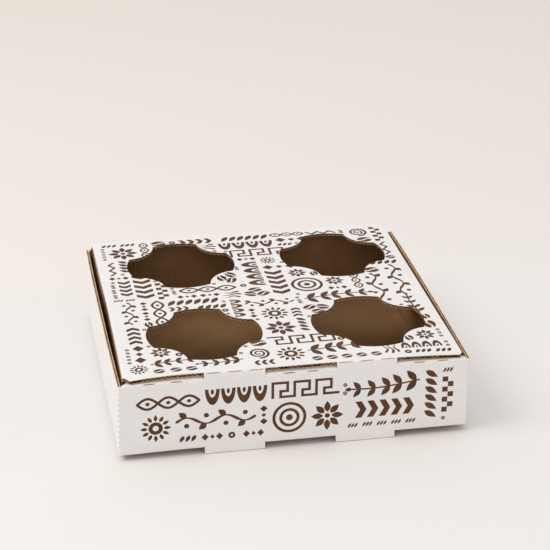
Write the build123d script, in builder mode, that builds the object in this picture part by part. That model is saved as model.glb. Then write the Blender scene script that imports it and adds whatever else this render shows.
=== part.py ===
from build123d import *
from math import degrees, radians, sin, tan
import os

os.makedirs("parts", exist_ok=True)

# Board
board = 2.0  # thickness of the micro-fluted board
fold_out = 1.2  # rounding outside a fold; inside, its crease is sharp
slit = 0.5  # width of a cut line that folding opens
play = 1.0  # least room between a free end and the panel that it faces

# Flutes, open to view along the raw front edge of the lid and the rims of the side walls
liner = 0.3  # thickness of each liner
medium = 0.25  # thickness of the fluted paper between them
flute_pitch = 3.3
flute_slope = 52.0  # slope of the fluted paper, in degrees
flute_run = 4.0  # depth to which the flutes are open

# Cup openings in the lid: four lobes, with four petals between them that grip a cup
opening_r = 41.0  # reach of the lobes from the opening's centre
lobe_w = 34.0  # width of a lobe
petal_r = 22.0  # rounding of a petal
lobe_round = 1.2  # rounding where a lobe meets a petal
web = 36.5  # board left between two openings
side_margin = 22.25  # board beside the openings, left and right
end_margin = 16.25  # board beside the openings, front and rear
opening_right = 4.5  # the openings sit this far right of the tray's middle
opening_back = 3.0  # and this far behind it

# Heights
foot_h = 5.0  # feet below the bottom panel
wall_h = 53.0  # front panel, from fold to fold
wall_bow = 1.5  # how far a side wall bows out between its folds
lid_rise = 5.0  # lid's top above the front panel's upper fold

# Tabs: each is a neck up to the lid, a strip of the front panel and a foot
tab_w = 42.2
tab_gap = 50.2  # distance between the two tabs
tab_right = 2.9  # the pair sits this far right of the tray's middle

# Lid
flap_gap = 3.2  # room between a side flap of the lid and the ends of the side wall
flap_d = 30.0  # how far a side flap reaches down inside the wall
corner_cut = 4.5  # width cut from the lid's front corners

# Cuts that let the board fold: dashes through the outer liner, along each fold
cut_w = 0.5
cut_deep = 0.7
neck_cut = 10.0  # length of a dash across a neck
neck_cuts = 3
neck_cut_gap = 5.0  # board left between two of them
ledge_cut = 8.0  # length of a dash along the ledge
ledge_cuts = 2
wall_cut = 1.4  # length of a dash down an upright fold
wall_cut_gap = 2.6

# Sizes that follow
half_turn = 45.0  # half of a fold's right angle, in degrees
fold_skin = fold_out * (1 - sin(radians(half_turn)))  # from a fold's corner in to its rounded face
opening_pitch = 2 * opening_r + web
tray_w = opening_pitch + 2 * opening_r + 2 * side_margin
tray_d = opening_pitch + 2 * opening_r + 2 * end_margin
rim_z = foot_h + wall_h
tray_h = rim_z + lid_rise
half_w, half_d = tray_w / 2, tray_d / 2
panel_half = half_w - board - slit
lid_half = half_w - board - flap_gap
lid_flat_half = lid_half - fold_out
flap_front = -half_d + lid_rise + play
flap_rear = half_d - board - slit
petal_off = lobe_w / 2 + petal_r
tab_pitch = tab_w + tab_gap
tab_places = [tab_right - tab_pitch / 2, tab_right + tab_pitch / 2]
tab_sides = [tab_x + side * tab_w / 2 for tab_x in tab_places for side in (-1, 1)]
core = board - 2 * liner
flute_rise = core - medium
flute_wide = flute_pitch / 2 + core / tan(radians(flute_slope)) - medium / sin(radians(flute_slope))
flute_lift = core / 2 - flute_rise / 2
wall_cut_pitch = wall_cut + wall_cut_gap
wall_cuts = int(wall_h / wall_cut_pitch) - 1
bow_r = (half_d**2 + wall_bow**2) / (2 * wall_bow)  # radius of a bowed side wall


def stretches(left_end, right_end):
    """Raw stretches of board between two ends, past the tabs, as (middle, length)."""
    ends = [left_end, *tab_sides, right_end]
    return [((a + b) / 2, b - a) for a, b in zip(ends[::2], ends[1::2])]


def flute_count(length):
    """How many flutes are open along a raw edge."""
    return int(length / flute_pitch) - 1


def flute():
    """One flute's opening under each liner, drawn into the sketch in hand."""
    with Locations((-flute_pitch / 4, flute_lift)):
        Trapezoid(flute_wide, flute_rise, flute_slope, rotation=180)
    with Locations((flute_pitch / 4, -flute_lift)):
        Trapezoid(flute_wide, flute_rise, flute_slope)


# Row of flutes along a bowed rim
rim_flutes_count = flute_count(2 * (half_d - board))
rim_turn = degrees((rim_flutes_count - 1) * flute_pitch / bow_r)

with BuildPart() as cup_carrier:
    # Lid, folded down at the rear
    with BuildSketch(Plane.YZ) as lid_profile:
        with BuildLine():
            FilletPolyline((half_d, rim_z), (half_d, tray_h), (-half_d, tray_h), radius=fold_out)
            offset(amount=board, side=Side.LEFT)
        make_face()
    extrude(amount=lid_flat_half, both=True)

    # Side flaps, folded down from the lid
    with BuildSketch(Plane.XZ.offset(half_d)) as flap_profile:
        with BuildLine():
            FilletPolyline(
                (-lid_half, tray_h - flap_d),
                (-lid_half, tray_h),
                (lid_half, tray_h),
                (lid_half, tray_h - flap_d),
                radius=fold_out,
            )
            offset(amount=board, side=Side.RIGHT)
        make_face()
    extrude(amount=-(half_d + flap_rear))

    # Front corners of the lid and its flaps, cut back to clear the ledge
    with BuildSketch(Plane.XY.offset(tray_h)) as lid_corners:
        with BuildLine():
            Polyline(
                (lid_half - corner_cut, -half_d),
                (half_w, -half_d),
                (half_w, flap_front),
                (lid_half, flap_front),
                close=True,
            )
        make_face()
        mirror(about=Plane.YZ)
    extrude(amount=-flap_d, mode=Mode.SUBTRACT)

    # Tray: ledge, front, bottom and rear panels, folded in one length
    with BuildSketch(Plane.YZ) as tray_profile:
        with BuildLine():
            FilletPolyline(
                (-half_d + lid_rise, rim_z),
                (-half_d, rim_z),
                (-half_d, foot_h),
                (half_d, foot_h),
                (half_d, tray_h - fold_out),
                radius=fold_out,
            )
            offset(amount=board, side=Side.LEFT)
        make_face()
    extrude(amount=panel_half, both=True)

    # Cup openings through the lid
    with BuildSketch(Plane.XY.offset(tray_h)) as cup_openings:
        with Locations((opening_right, opening_back)):
            with GridLocations(opening_pitch, opening_pitch, 2, 2):
                Circle(opening_r)
            with GridLocations(opening_pitch, opening_pitch, 2, 2):
                with GridLocations(2 * petal_off, 2 * petal_off, 2, 2):
                    Circle(petal_r, mode=Mode.SUBTRACT)
        fillet(cup_openings.vertices(), radius=lobe_round)
    extrude(amount=-board, mode=Mode.SUBTRACT)

    # Ledge's ends, mitred beside the side walls
    with BuildSketch(Plane.XY.offset(rim_z)) as ledge_mitre:
        with BuildLine():
            Polyline(
                (panel_half, -half_d + fold_out),
                (panel_half, -half_d + lid_rise),
                (panel_half - lid_rise + fold_out, -half_d + lid_rise),
                close=True,
            )
        make_face()
        mirror(about=Plane.YZ)
    extrude(amount=-board, mode=Mode.SUBTRACT)

    # Room for the tabs: in the ledge and the lid's front edge, and in both ends of the bottom panel
    with BuildSketch(Plane.XY.offset(rim_z)) as neck_slots:
        for tab_x in tab_places:
            with Locations((tab_x, -half_d)):
                Rectangle(tab_w + 2 * slit, lid_rise, align=(Align.CENTER, Align.MIN))
    extrude(amount=-board, mode=Mode.SUBTRACT)
    with BuildSketch(Plane.XY.offset(tray_h)) as neck_folds:
        for tab_x in tab_places:
            with Locations((tab_x, -half_d)):
                Rectangle(tab_w, fold_out, align=(Align.CENTER, Align.MIN))
    extrude(amount=-board, mode=Mode.SUBTRACT)
    with BuildSketch(Plane.XY.offset(foot_h)) as foot_slots:
        for tab_x in tab_places:
            with Locations((tab_x, -half_d)):
                Rectangle(tab_w + 2 * slit, foot_h, align=(Align.CENTER, Align.MIN))
        mirror(about=Plane.XZ)
    extrude(amount=board, mode=Mode.SUBTRACT)

    # Tabs: a neck folded over into the lid, and a foot below the front and rear panels
    for tab_x in tab_places:
        with BuildSketch(Plane.YZ.offset(tab_x)) as neck_profile:
            with BuildLine():
                FilletPolyline(
                    (-half_d, rim_z - board),
                    (-half_d, tray_h),
                    (-half_d + 2 * board, tray_h),
                    radius=fold_out,
                )
                offset(amount=board, side=Side.RIGHT)
            make_face()
        extrude(amount=tab_w / 2, both=True)
        with BuildSketch() as foot_ends:
            with Locations((tab_x, -half_d)):
                Rectangle(tab_w, board, align=(Align.CENTER, Align.MIN))
            mirror(about=Plane.XZ)
        extrude(amount=foot_h + board)

    # Side walls, bowed out between their folds with the front and rear panels, with raw edges on top
    with BuildSketch(Plane.XY.offset(foot_h)) as side_walls:
        with BuildLine():
            ThreePointArc((half_w, -half_d), (half_w + wall_bow, 0), (half_w, half_d))
            Line((half_w, half_d), (-half_w, half_d))
            ThreePointArc((-half_w, half_d), (-half_w - wall_bow, 0), (-half_w, -half_d))
            Line((-half_w, -half_d), (half_w, -half_d))
        make_face()
        offset(amount=-board, kind=Kind.INTERSECTION, mode=Mode.SUBTRACT)
        Rectangle(2 * (panel_half - board), tray_d, mode=Mode.SUBTRACT)
        fillet(side_walls.vertices().sort_by_distance((0, 0))[-4:], radius=fold_out)
    extrude(amount=wall_h)

    # Cut dashes across the necks, along the ledge's fold and down the upright folds
    necks = [(tab_x, -half_d + fold_skin, tray_h - fold_skin) for tab_x in tab_places]
    with Locations(*[Location(neck, (half_turn, 0, 0)) for neck in necks]):
        with GridLocations(neck_cut + neck_cut_gap, board, neck_cuts, 1):
            Box(neck_cut, cut_w, 2 * cut_deep, mode=Mode.SUBTRACT)
    for middle, length in stretches(-panel_half, panel_half):
        with Locations(Location((middle, -half_d + fold_skin, rim_z - fold_skin), (half_turn, 0, 0))):
            with GridLocations(length / (ledge_cuts + 1), board, ledge_cuts, 1):
                Box(ledge_cut, cut_w, 2 * cut_deep, mode=Mode.SUBTRACT)
    heights = [foot_h + wall_h / 2 + wall_cut_pitch * (i - (wall_cuts - 1) / 2) for i in range(wall_cuts)]
    for side_x, side_y in ((-1, -1), (1, -1), (-1, 1), (1, 1)):
        x, y = side_x * (half_w - fold_skin), side_y * (half_d - fold_skin)
        with Locations(*[Location((x, y, z), (0, 0, side_x * side_y * half_turn)) for z in heights]):
            Box(2 * cut_deep, cut_w, wall_cut, mode=Mode.SUBTRACT)

    # Flutes in the raw front edge of the lid and in the rims of the side walls
    with BuildSketch(Plane.XZ.offset(half_d)) as lid_flutes:
        for middle, length in stretches(-lid_half + corner_cut, lid_half - corner_cut):
            with Locations((middle, tray_h - board / 2)):
                with GridLocations(flute_pitch, board, flute_count(length), 1):
                    flute()
    extrude(amount=-flute_run, mode=Mode.SUBTRACT)
    with BuildSketch(Plane.XY.offset(rim_z)) as rim_flutes:
        with Locations((half_w + wall_bow - bow_r, 0)):
            with PolarLocations(bow_r - board / 2, rim_flutes_count, -rim_turn / 2, rim_turn, endpoint=True):
                with Locations(Location((0, 0), 90)):
                    flute()
        mirror(about=Plane.YZ)
    extrude(amount=-flute_run, mode=Mode.SUBTRACT)

cup_carrier.part.label = "cup_carrier"
export_step(cup_carrier.part, "parts/cup_carrier.step")
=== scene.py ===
import logging
import math
import random
from dataclasses import dataclass, field
from enum import Enum, IntEnum
from typing import Callable, Iterable

import bmesh
import bpy
import numpy as np
from mathutils import Matrix, Vector, noise
from mathutils.geometry import delaunay_2d_cdt


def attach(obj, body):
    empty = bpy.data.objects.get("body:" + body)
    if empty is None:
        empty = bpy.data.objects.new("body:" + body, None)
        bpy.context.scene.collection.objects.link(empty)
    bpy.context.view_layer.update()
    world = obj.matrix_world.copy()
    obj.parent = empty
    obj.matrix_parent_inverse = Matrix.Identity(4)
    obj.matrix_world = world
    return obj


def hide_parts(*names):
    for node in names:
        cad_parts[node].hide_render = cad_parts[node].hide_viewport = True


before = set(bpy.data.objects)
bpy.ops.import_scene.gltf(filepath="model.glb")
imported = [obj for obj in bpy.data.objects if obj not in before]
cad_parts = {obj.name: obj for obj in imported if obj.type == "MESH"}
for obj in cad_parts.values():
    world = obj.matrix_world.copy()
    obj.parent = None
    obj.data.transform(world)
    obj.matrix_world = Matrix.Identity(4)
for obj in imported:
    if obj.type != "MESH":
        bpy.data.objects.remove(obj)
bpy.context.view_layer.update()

# Lengths are in millimetres until a mesh is made, and in metres in Blender.
# A point of the flat board is (s, t): s runs across the flutes, and t along them.

MM = 0.001
NODE = "cup_carrier"
BODY = "root"
LOG = logging.getLogger(NODE)

Point = tuple[float, float]
Loop = np.ndarray
Colour = tuple[float, float, float]
Place = Callable[[np.ndarray, np.ndarray, np.ndarray], np.ndarray]


class Skin(IntEnum):
    """What a face of the board shows, in the order of a piece's material slots."""

    WHITE = 0
    KRAFT = 1
    RAW = 2
    INK = 3
    TORN = 4
    # Fluted paper and the liners' faces inside the flutes: brown paper, darkened as painted shade for the
    # hollows.
    FLUTE_SHADE = 5
    # Painted brown shade on the flaps' white liner, in the gap beside a wall.
    GAP_SHADE = 6


class Side(Enum):
    """The two sides of the carrier."""

    LEFT = -1
    RIGHT = 1


@dataclass(frozen=True)
class Board:
    """The fluted board: two liners with a fluted paper between them.

    Fields:
        thickness: Thickness of the whole board.
        liner: Thickness of a liner, as it looks where its cut edge frays.
        medium: Thickness of the fluted paper.
        pitch: Distance from one flute to the next.
        fold_out: Rounding of a fold's outer face.
        steps_per_flute: Number of flat strips that make up one flute.
        steepness: How much steeper than a sine wave the flutes rise, between flat crests.
    """

    thickness: float = 2.0
    liner: float = 0.36
    medium: float = 0.36
    pitch: float = 3.3
    fold_out: float = 1.2
    steps_per_flute: int = 10
    steepness: float = 1.25

    @property
    def crush(self) -> float:
        """How much further from a fold's corner the inner face turns than the outer face."""
        return self.thickness - self.fold_out

    @property
    def bend(self) -> float:
        """Length of a right-angle fold along its outer face."""
        return self.fold_out * math.pi / 2

    @property
    def swing(self) -> float:
        """How far the middle of the fluted paper swings from the middle of the board."""
        return (self.thickness - 2 * self.liner - self.medium) / 2

    @property
    def flute_step(self) -> float:
        """Width of one of the strips that make up a flute."""
        return self.pitch / self.steps_per_flute

    def flute_depth(self, s: np.ndarray) -> np.ndarray:
        """Depth of the fluted paper's outer face below the board's, at each place across the flutes."""
        wave = np.clip(self.steepness * np.sin(2 * math.pi * s / self.pitch), -1, 1)
        return self.thickness / 2 - self.medium / 2 + self.swing * wave


@dataclass(frozen=True)
class Carrier:
    """Sizes of the folded carrier, the same as its solid's.

    Fields:
        width: Width at the corners.
        depth: Depth at the corners.
        height: Height over all.
        board: The board that it is folded from.
        foot_h: Height of the feet below the bottom panel.
        lid_rise: How far the lid's top lies above the front panel's upper fold.
        slit: Width of a cut line that folding opens.
        play: Least room between a free end and the panel that it faces.
        tab_w: Width of a tab, which is a neck, a strip of the front panel and a foot.
        tab_gap: Distance between the two tabs.
        tab_right: How far right of the middle the pair of tabs sits.
        flap_gap: Room between a side flap and the ends of the side wall.
        flap_d: How far a side flap reaches down inside the wall.
        corner_cut: Width cut from the lid's left front corner.
        opening_r: Reach of the lobes from a cup opening's middle.
        lobe_w: Width of a lobe.
        petal_r: Rounding of a petal.
        lobe_round: Rounding where a lobe meets a petal.
        web: Width of board left between two openings.
        opening_right: How far right of the middle the openings sit.
        opening_back: How far behind the middle they sit.
    """

    width: float = 245.0
    depth: float = 233.0
    height: float = 63.0
    board: Board = field(default_factory=Board)
    foot_h: float = 5.0
    lid_rise: float = 5.0
    slit: float = 0.5
    play: float = 1.0
    tab_w: float = 42.2
    tab_gap: float = 50.2
    tab_right: float = 2.9
    flap_gap: float = 3.2
    flap_d: float = 30.0
    corner_cut: float = 4.5
    opening_r: float = 41.0
    lobe_w: float = 34.0
    petal_r: float = 22.0
    lobe_round: float = 1.2
    web: float = 36.5
    opening_right: float = 4.5
    opening_back: float = 3.0

    @property
    def half_w(self) -> float:
        """Half of the width."""
        return self.width / 2

    @property
    def half_d(self) -> float:
        """Half of the depth."""
        return self.depth / 2

    @property
    def rim_z(self) -> float:
        """Height of the side walls' rims and of the ledge."""
        return self.height - self.lid_rise

    @property
    def panel_half(self) -> float:
        """Half of the width of the bottom panel, which lies between the side walls."""
        return self.half_w - self.board.thickness - self.slit

    @property
    def lid_flat_half(self) -> float:
        """Half of the width of the lid between its side folds."""
        return self.half_w - self.board.thickness - self.flap_gap - self.board.fold_out

    @property
    def tabs(self) -> list[tuple[float, float]]:
        """Places of the tabs.

        Returns:
            Left and right side of each tab.
        """
        pitch = self.tab_w + self.tab_gap
        middles = (self.tab_right - pitch / 2, self.tab_right + pitch / 2)
        return [(x - self.tab_w / 2, x + self.tab_w / 2) for x in middles]

    @property
    def openings(self) -> list[Point]:
        """Places of the cup openings, seen from above.

        Returns:
            Middle of each opening.
        """
        reach = self.opening_r + self.web / 2
        return [
            (self.opening_right + i * reach, self.opening_back + j * reach)
            for j in (-1, 1)
            for i in (-1, 1)
        ]


def arc(middle: Point, radius: float, start: float, end: float, step: float = 1.0) -> list[Point]:
    """Points along an arc.

    Args:
        middle: The arc's centre.
        radius: Its radius.
        start: The first point's angle, in radians.
        end: The last point's angle.
        step: Largest distance between two points.

    Returns:
        The points, with both ends.
    """
    count = max(2, math.ceil(abs(end - start) * radius / step))
    angles = [start + (end - start) * i / count for i in range(count + 1)]
    return [(middle[0] + radius * math.cos(a), middle[1] + radius * math.sin(a)) for a in angles]


def subdivide(points: Iterable[Point], step: float) -> Loop:
    """Closes a loop of points and adds points along its long edges.

    Args:
        points: The loop's corners in order.
        step: Largest distance between two points.

    Returns:
        The loop as an array with one row for each point.
    """
    corners = [np.array(p, float) for p in points]
    out = []
    for a, b in zip(corners, corners[1:] + corners[:1]):
        count = max(1, math.ceil(np.linalg.norm(b - a) / step))
        out.extend(a + (b - a) * i / count for i in range(count))
    return np.array(out)


def ragged(loop: Loop, amount: float, scale: float = 0.9) -> Loop:
    """Moves the points of a cut edge a little, as a die leaves a paper edge.

    Args:
        loop: The clean loop.
        amount: How far a point may move.
        scale: Length over which the edge wanders.

    Returns:
        The loop with its points moved.
    """
    moved = [
        (
            x + amount * noise.noise((x / scale, y / scale, 3.1)),
            y + amount * noise.noise((x / scale, y / scale, 8.7)),
        )
        for x, y in loop
    ]
    return np.array(moved)


def torn_back(outline: Loop, edge: float, most: float, scale: float) -> Loop:
    """Tears an outline unevenly back from one straight edge.

    Args:
        outline: The outline.
        edge: Place along the flutes of the edge that is torn.
        most: How far back it is torn at most.
        scale: Typical length of one tear.

    Returns:
        The torn outline.
    """
    step, usual, unevenness = 0.4, 0.15, 2.4
    rows: list[Point] = []
    for a, b in zip(outline, np.roll(outline, -1, axis=0)):
        rows.append((a[0], a[1]))
        if a[1] == b[1] == edge:
            count = int(abs(b[0] - a[0]) / step)
            for k in range(1, count):
                s = a[0] + (b[0] - a[0]) * k / count
                long_tear = noise.noise((s / scale, edge, 3.0))
                short_tear = noise.noise((s * 3 / scale, edge, 8.0))
                share = usual + unevenness * (long_tear + 0.4 * short_tear)
                rows.append((s, edge - most * min(1.0, max(0.0, share))))
    return np.array(rows)


def between(low: float, high: float, parts: int) -> list[float]:
    """Places that divide a stretch into even parts, its ends left out."""
    return [low + (high - low) * i / parts for i in range(1, parts)]


def rectangle(s0: float, s1: float, t0: float, t1: float) -> Loop:
    """A rectangle between two places across the flutes and two along them."""
    return np.array([(s0, t0), (s1, t0), (s1, t1), (s0, t1)])


def inside(points: np.ndarray, loop: Loop) -> np.ndarray:
    """Tells which points lie in a loop, by how often it winds round them.

    Args:
        points: One row for each point.
        loop: The loop, which may cross itself.

    Returns:
        One truth value for each point.
    """
    turns = np.zeros(len(points), int)
    near = np.flatnonzero(np.all((points > loop.min(0)) & (points < loop.max(0)), axis=1))
    if len(near):
        px, py = points[near, 0][:, None], points[near, 1][:, None]
        a, b = loop, np.roll(loop, -1, axis=0)
        side = (b[:, 0] - a[:, 0]) * (py - a[:, 1]) - (b[:, 1] - a[:, 1]) * (px - a[:, 0])
        up = (a[:, 1] <= py) & (b[:, 1] > py) & (side > 0)
        down = (a[:, 1] > py) & (b[:, 1] <= py) & (side < 0)
        turns[near] = up.sum(1) - down.sum(1)
    return turns != 0


class FoldPath:
    """A board seen end-on: flats joined by right-angle folds that all turn the same way."""

    def __init__(self, start: Point, heading: Point, flats: list[float], radius: float, turn: int) -> None:
        """Lays the path out.

        Args:
            start: Where the outer face starts.
            heading: Unit direction of the first flat.
            flats: Length of each flat.
            radius: Radius of the folds' outer face.
            turn: 1 where the board's inside is to the left of the heading, -1 to the right.
        """
        self.radius = radius
        self.turn = turn
        self.flats = flats
        self.runs: list[tuple[float, bool, np.ndarray, np.ndarray]] = []
        point, ahead, t = np.array(start, float), np.array(heading, float), 0.0
        for i, flat in enumerate(flats):
            self.runs.append((t, False, point, ahead))
            point, t = point + ahead * flat, t + flat
            if i < len(flats) - 1:
                self.runs.append((t, True, point, ahead))
                point, t = point + (ahead + self.inward(ahead)) * radius, t + radius * math.pi / 2
                ahead = self.inward(ahead)
        self.length = t

    def inward(self, ahead: np.ndarray) -> np.ndarray:
        """Direction into the board from its outer face, for one heading."""
        return self.turn * np.array((-ahead[1], ahead[0]))

    @property
    def marks(self) -> list[float]:
        """Where each flat and each fold starts, and where the last flat ends."""
        return [run[0] for run in self.runs] + [self.length]

    def bends(self, steps: int = 6) -> list[float]:
        """Places inside the folds where the path needs points.

        Args:
            steps: Number of facets in a fold.

        Returns:
            The places, folds' ends included.
        """
        starts = [run[0] for run in self.runs if run[1]]
        quarter = self.radius * math.pi / 2
        return [t + quarter * i / steps for t in starts for i in range(steps + 1)]

    def at(self, t: np.ndarray, depth: np.ndarray) -> np.ndarray:
        """Places of points of the board. Deeper than the folds' radius, a fold is a sharp crease.

        Args:
            t: How far along the outer face.
            depth: How far below it.

        Returns:
            One row of two coordinates for each point.
        """
        out = np.zeros((len(t), 2))
        for i, (start, bent, point, ahead) in enumerate(self.runs):
            at = t >= start - 1e-9
            along, below = (t[at] - start)[:, None], depth[at][:, None]
            past = np.maximum(below - self.radius, 0)
            inward = self.inward(ahead)
            if bent:
                angle, reach = along / self.radius, np.maximum(self.radius - below, 0)
                centre = point + inward * self.radius + (inward - ahead) * past
                out[at] = centre - inward * reach * np.cos(angle) + ahead * reach * np.sin(angle)
            else:
                low = past if i > 0 else -np.inf
                high = self.flats[i // 2] - past if i < len(self.runs) - 1 else np.inf
                out[at] = point + ahead * np.minimum(np.maximum(along, low), high) + inward * below
        return out

    def folded(self, t: np.ndarray) -> np.ndarray:
        """How much of a fold is at each place: 1 at the middle of a fold and 0 on a flat.

        Args:
            t: How far along the outer face.

        Returns:
            One share for each place.
        """
        quarter = self.radius * math.pi / 2
        fade = quarter * 0.9
        share = np.zeros(len(t))
        for start, bent, _, _ in self.runs:
            if bent:
                share = np.maximum(share, 1 - np.abs(t - start - quarter / 2) / fade)
        return np.clip(share, 0, 1)


@dataclass
class Mark:
    """Something on the outer face of a plate: print, wear, or a cut dash torn open by folding.

    Fields:
        solids: Loops that it fills.
        holes: Loops left bare inside them.
        skin: What it shows.
        groove: Ends of the groove along its middle, where it has one.
        groove_depth: Depth of that groove.
    """

    solids: list[Loop]
    holes: list[Loop] = field(default_factory=list)
    skin: Skin = Skin.INK
    groove: list[Point] = field(default_factory=list)
    groove_depth: float = 0.0

    def covers(self, points: np.ndarray) -> np.ndarray:
        """Tells which points the mark covers.

        Args:
            points: One row for each point.

        Returns:
            One truth value for each point.
        """
        covered = np.zeros(len(points), bool)
        for loop in self.solids:
            covered |= inside(points, loop)
        for loop in self.holes:
            covered &= ~inside(points, loop)
        return covered


@dataclass
class Plate:
    """A layer of paper or board, cut to a flat outline and then folded to its place.

    Fields:
        name: Name of the Blender object.
        outline: The outer loop of the flat cut.
        holes: Loops cut out of it.
        across: Places of s where the mesh needs a line of points.
        along: Places of t where it needs one.
        top: Depth of its upper face below the board's outer face.
        bottom: Depth of its lower face.
        place: Folds (s, t, depth) to a point in space.
        fold_share: Tells how much of a fold is at (s, t).
        skins: Materials of its upper face, lower face and cut edge.
        marks: Print and dashes on its upper face.
        relief: Extra depth of both faces, from s.
    """

    name: str
    outline: Loop
    holes: list[Loop]
    across: list[float]
    along: list[float]
    top: float
    bottom: float
    place: Place
    fold_share: Callable[[np.ndarray, np.ndarray], np.ndarray]
    skins: tuple[Skin, Skin, Skin]
    marks: list[Mark] = field(default_factory=list)
    relief: Callable[[np.ndarray], np.ndarray] | None = None

    SAME_SPOT = 1e-4
    LEAST_AREA = 1e-7
    CREASE_JOIN = 0.001
    SHARP_ANGLE = 35.0

    def triangles(self) -> tuple[np.ndarray, np.ndarray]:
        """Divides the flat cut into triangles that keep to every line and mark.

        Returns:
            The points, and three point numbers for each triangle.
        """
        points: list[Vector] = []
        edges: list[tuple[int, int]] = []

        def chain(rows: Iterable[Point], closed: bool) -> None:
            """Adds a run of points joined by edges.

            Args:
                rows: The points in order.
                closed: Whether an edge joins the last point to the first.
            """
            first = len(points)
            points.extend(Vector((float(x), float(y))) for x, y in rows)
            count = len(points) - first
            edges.extend((first + i, first + i + 1) for i in range(count - 1))
            if closed:
                edges.append((first + count - 1, first))

        chain(self.outline, True)
        for loop in self.holes:
            chain(loop, True)
        for mark in self.marks:
            for loop in (*mark.solids, *mark.holes):
                chain(loop, True)
            if mark.groove:
                chain(mark.groove, False)
        low, high = self.outline.min(0) - 1, self.outline.max(0) + 1
        for s in self.across:
            if low[0] < s < high[0]:
                chain(((s, low[1]), (s, high[1])), False)
        for t in self.along:
            if low[1] < t < high[1]:
                chain(((low[0], t), (high[0], t)), False)
        out = delaunay_2d_cdt(points, edges, [], 0, self.SAME_SPOT, False)
        spots = np.array([tuple(v) for v in out[0]])
        faces = np.array([tuple(f) for f in out[2]])
        middles = spots[faces].mean(axis=1)
        kept = inside(middles, self.outline)
        for loop in self.holes:
            kept &= ~inside(middles, loop)
        a, b, c = (spots[faces[:, i]] for i in range(3))
        area = np.abs((b[:, 0] - a[:, 0]) * (c[:, 1] - a[:, 1]) - (b[:, 1] - a[:, 1]) * (c[:, 0] - a[:, 0]))
        faces = faces[kept & (area > self.LEAST_AREA)]
        used, faces = np.unique(faces, return_inverse=True)
        return spots[used], faces.reshape(-1, 3)

    def sunk(self, spots: np.ndarray) -> np.ndarray:
        """Extra depth of each point of the upper face, from the grooves of the dashes.

        Args:
            spots: The flat points.

        Returns:
            One depth for each point.
        """
        beside, end = 0.02, 0.01
        depth = np.zeros(len(spots))
        for mark in self.marks:
            if mark.groove:
                a, b = np.array(mark.groove)
                span = b - a
                share = ((spots - a) @ span) / (span @ span)
                off = np.abs((spots - a) @ np.array((-span[1], span[0]))) / np.linalg.norm(span)
                depth[(off < beside) & (share > end) & (share < 1 - end)] = mark.groove_depth
        return depth

    def mesh(self, materials: list[bpy.types.Material]) -> bpy.types.Object:
        """Builds the folded plate as one closed mesh.

        Args:
            materials: One material for each Skin.

        Returns:
            The new object, in the scene.
        """
        spots, faces = self.triangles()
        s, t = spots[:, 0], spots[:, 1]
        swell = self.relief(s) if self.relief else np.zeros(len(s))
        upper = self.place(s, t, self.top + swell + self.sunk(spots))
        lower = self.place(s, t, self.bottom + swell)
        count = len(spots)
        corners = np.concatenate([faces[:, [0, 1]], faces[:, [1, 2]], faces[:, [2, 0]]])
        key = np.sort(corners, axis=1)
        _, first, uses = np.unique(key[:, 0] * count + key[:, 1], return_index=True, return_counts=True)
        rim = corners[first[uses == 1]]
        walls = np.column_stack([rim[:, 1], rim[:, 0], rim[:, 0] + count, rim[:, 1] + count])
        skin = np.full(len(faces), int(self.skins[0]))
        middles = spots[faces].mean(axis=1)
        for mark in self.marks:
            skin[mark.covers(middles)] = int(mark.skin)
        mesh = bpy.data.meshes.new(self.name)
        rows = faces.tolist() + (faces[:, ::-1] + count).tolist() + walls.tolist()
        mesh.from_pydata((np.concatenate([upper, lower]) * MM).tolist(), [], rows)
        for material in materials:
            mesh.materials.append(material)
        under, edge = np.full(len(faces), int(self.skins[1])), np.full(len(walls), int(self.skins[2]))
        slots = np.concatenate([skin, under, edge])
        mesh.polygons.foreach_set("material_index", slots.astype(np.int32))
        self.lay_coordinates(mesh, np.tile(spots, (2, 1)), np.tile(self.fold_share(s, t), 2))
        self.tidy(mesh)
        mesh.polygons.foreach_set("use_smooth", np.ones(len(mesh.polygons), bool))
        mesh.set_sharp_from_angle(angle=math.radians(self.SHARP_ANGLE))
        mesh.update()
        piece = bpy.data.objects.new(self.name, mesh)
        bpy.context.scene.collection.objects.link(piece)
        LOG.info("%s: %d faces", self.name, len(mesh.polygons))
        return piece

    @classmethod
    def tidy(cls, mesh: bpy.types.Mesh) -> None:
        """Joins the points that a crease brings together, and turns every face outward.

        Args:
            mesh: The folded mesh.
        """
        work = bmesh.new()
        work.from_mesh(mesh)
        bmesh.ops.remove_doubles(work, verts=work.verts, dist=cls.CREASE_JOIN * MM)
        bmesh.ops.dissolve_degenerate(work, edges=work.edges, dist=cls.CREASE_JOIN * MM)
        if work.calc_volume(signed=True) < 0:
            bmesh.ops.reverse_faces(work, faces=work.faces)
        work.to_mesh(mesh)
        work.free()

    @staticmethod
    def lay_coordinates(mesh: bpy.types.Mesh, spots: np.ndarray, fold: np.ndarray) -> None:
        """Stores the flat place and the share of a fold at each corner of each face.

        Args:
            mesh: The mesh to write to.
            spots: Flat place of each vertex, in millimetres.
            fold: Share of a fold at each vertex.
        """
        corner = np.zeros(len(mesh.loops), np.int32)
        mesh.loops.foreach_get("vertex_index", corner)
        flat = mesh.uv_layers.new(name="flat")
        flat.data.foreach_set("uv", (spots[corner] * MM).astype(np.float32).ravel())
        folds = mesh.uv_layers.new(name="folds")
        pair = np.column_stack([fold[corner], np.zeros(len(corner))])
        folds.data.foreach_set("uv", pair.astype(np.float32).ravel())


def turning(angle: float) -> np.ndarray:
    """Matrix that turns rows of points by an angle, in radians."""
    return np.array([[math.cos(angle), math.sin(angle)], [-math.sin(angle), math.cos(angle)]])


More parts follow.
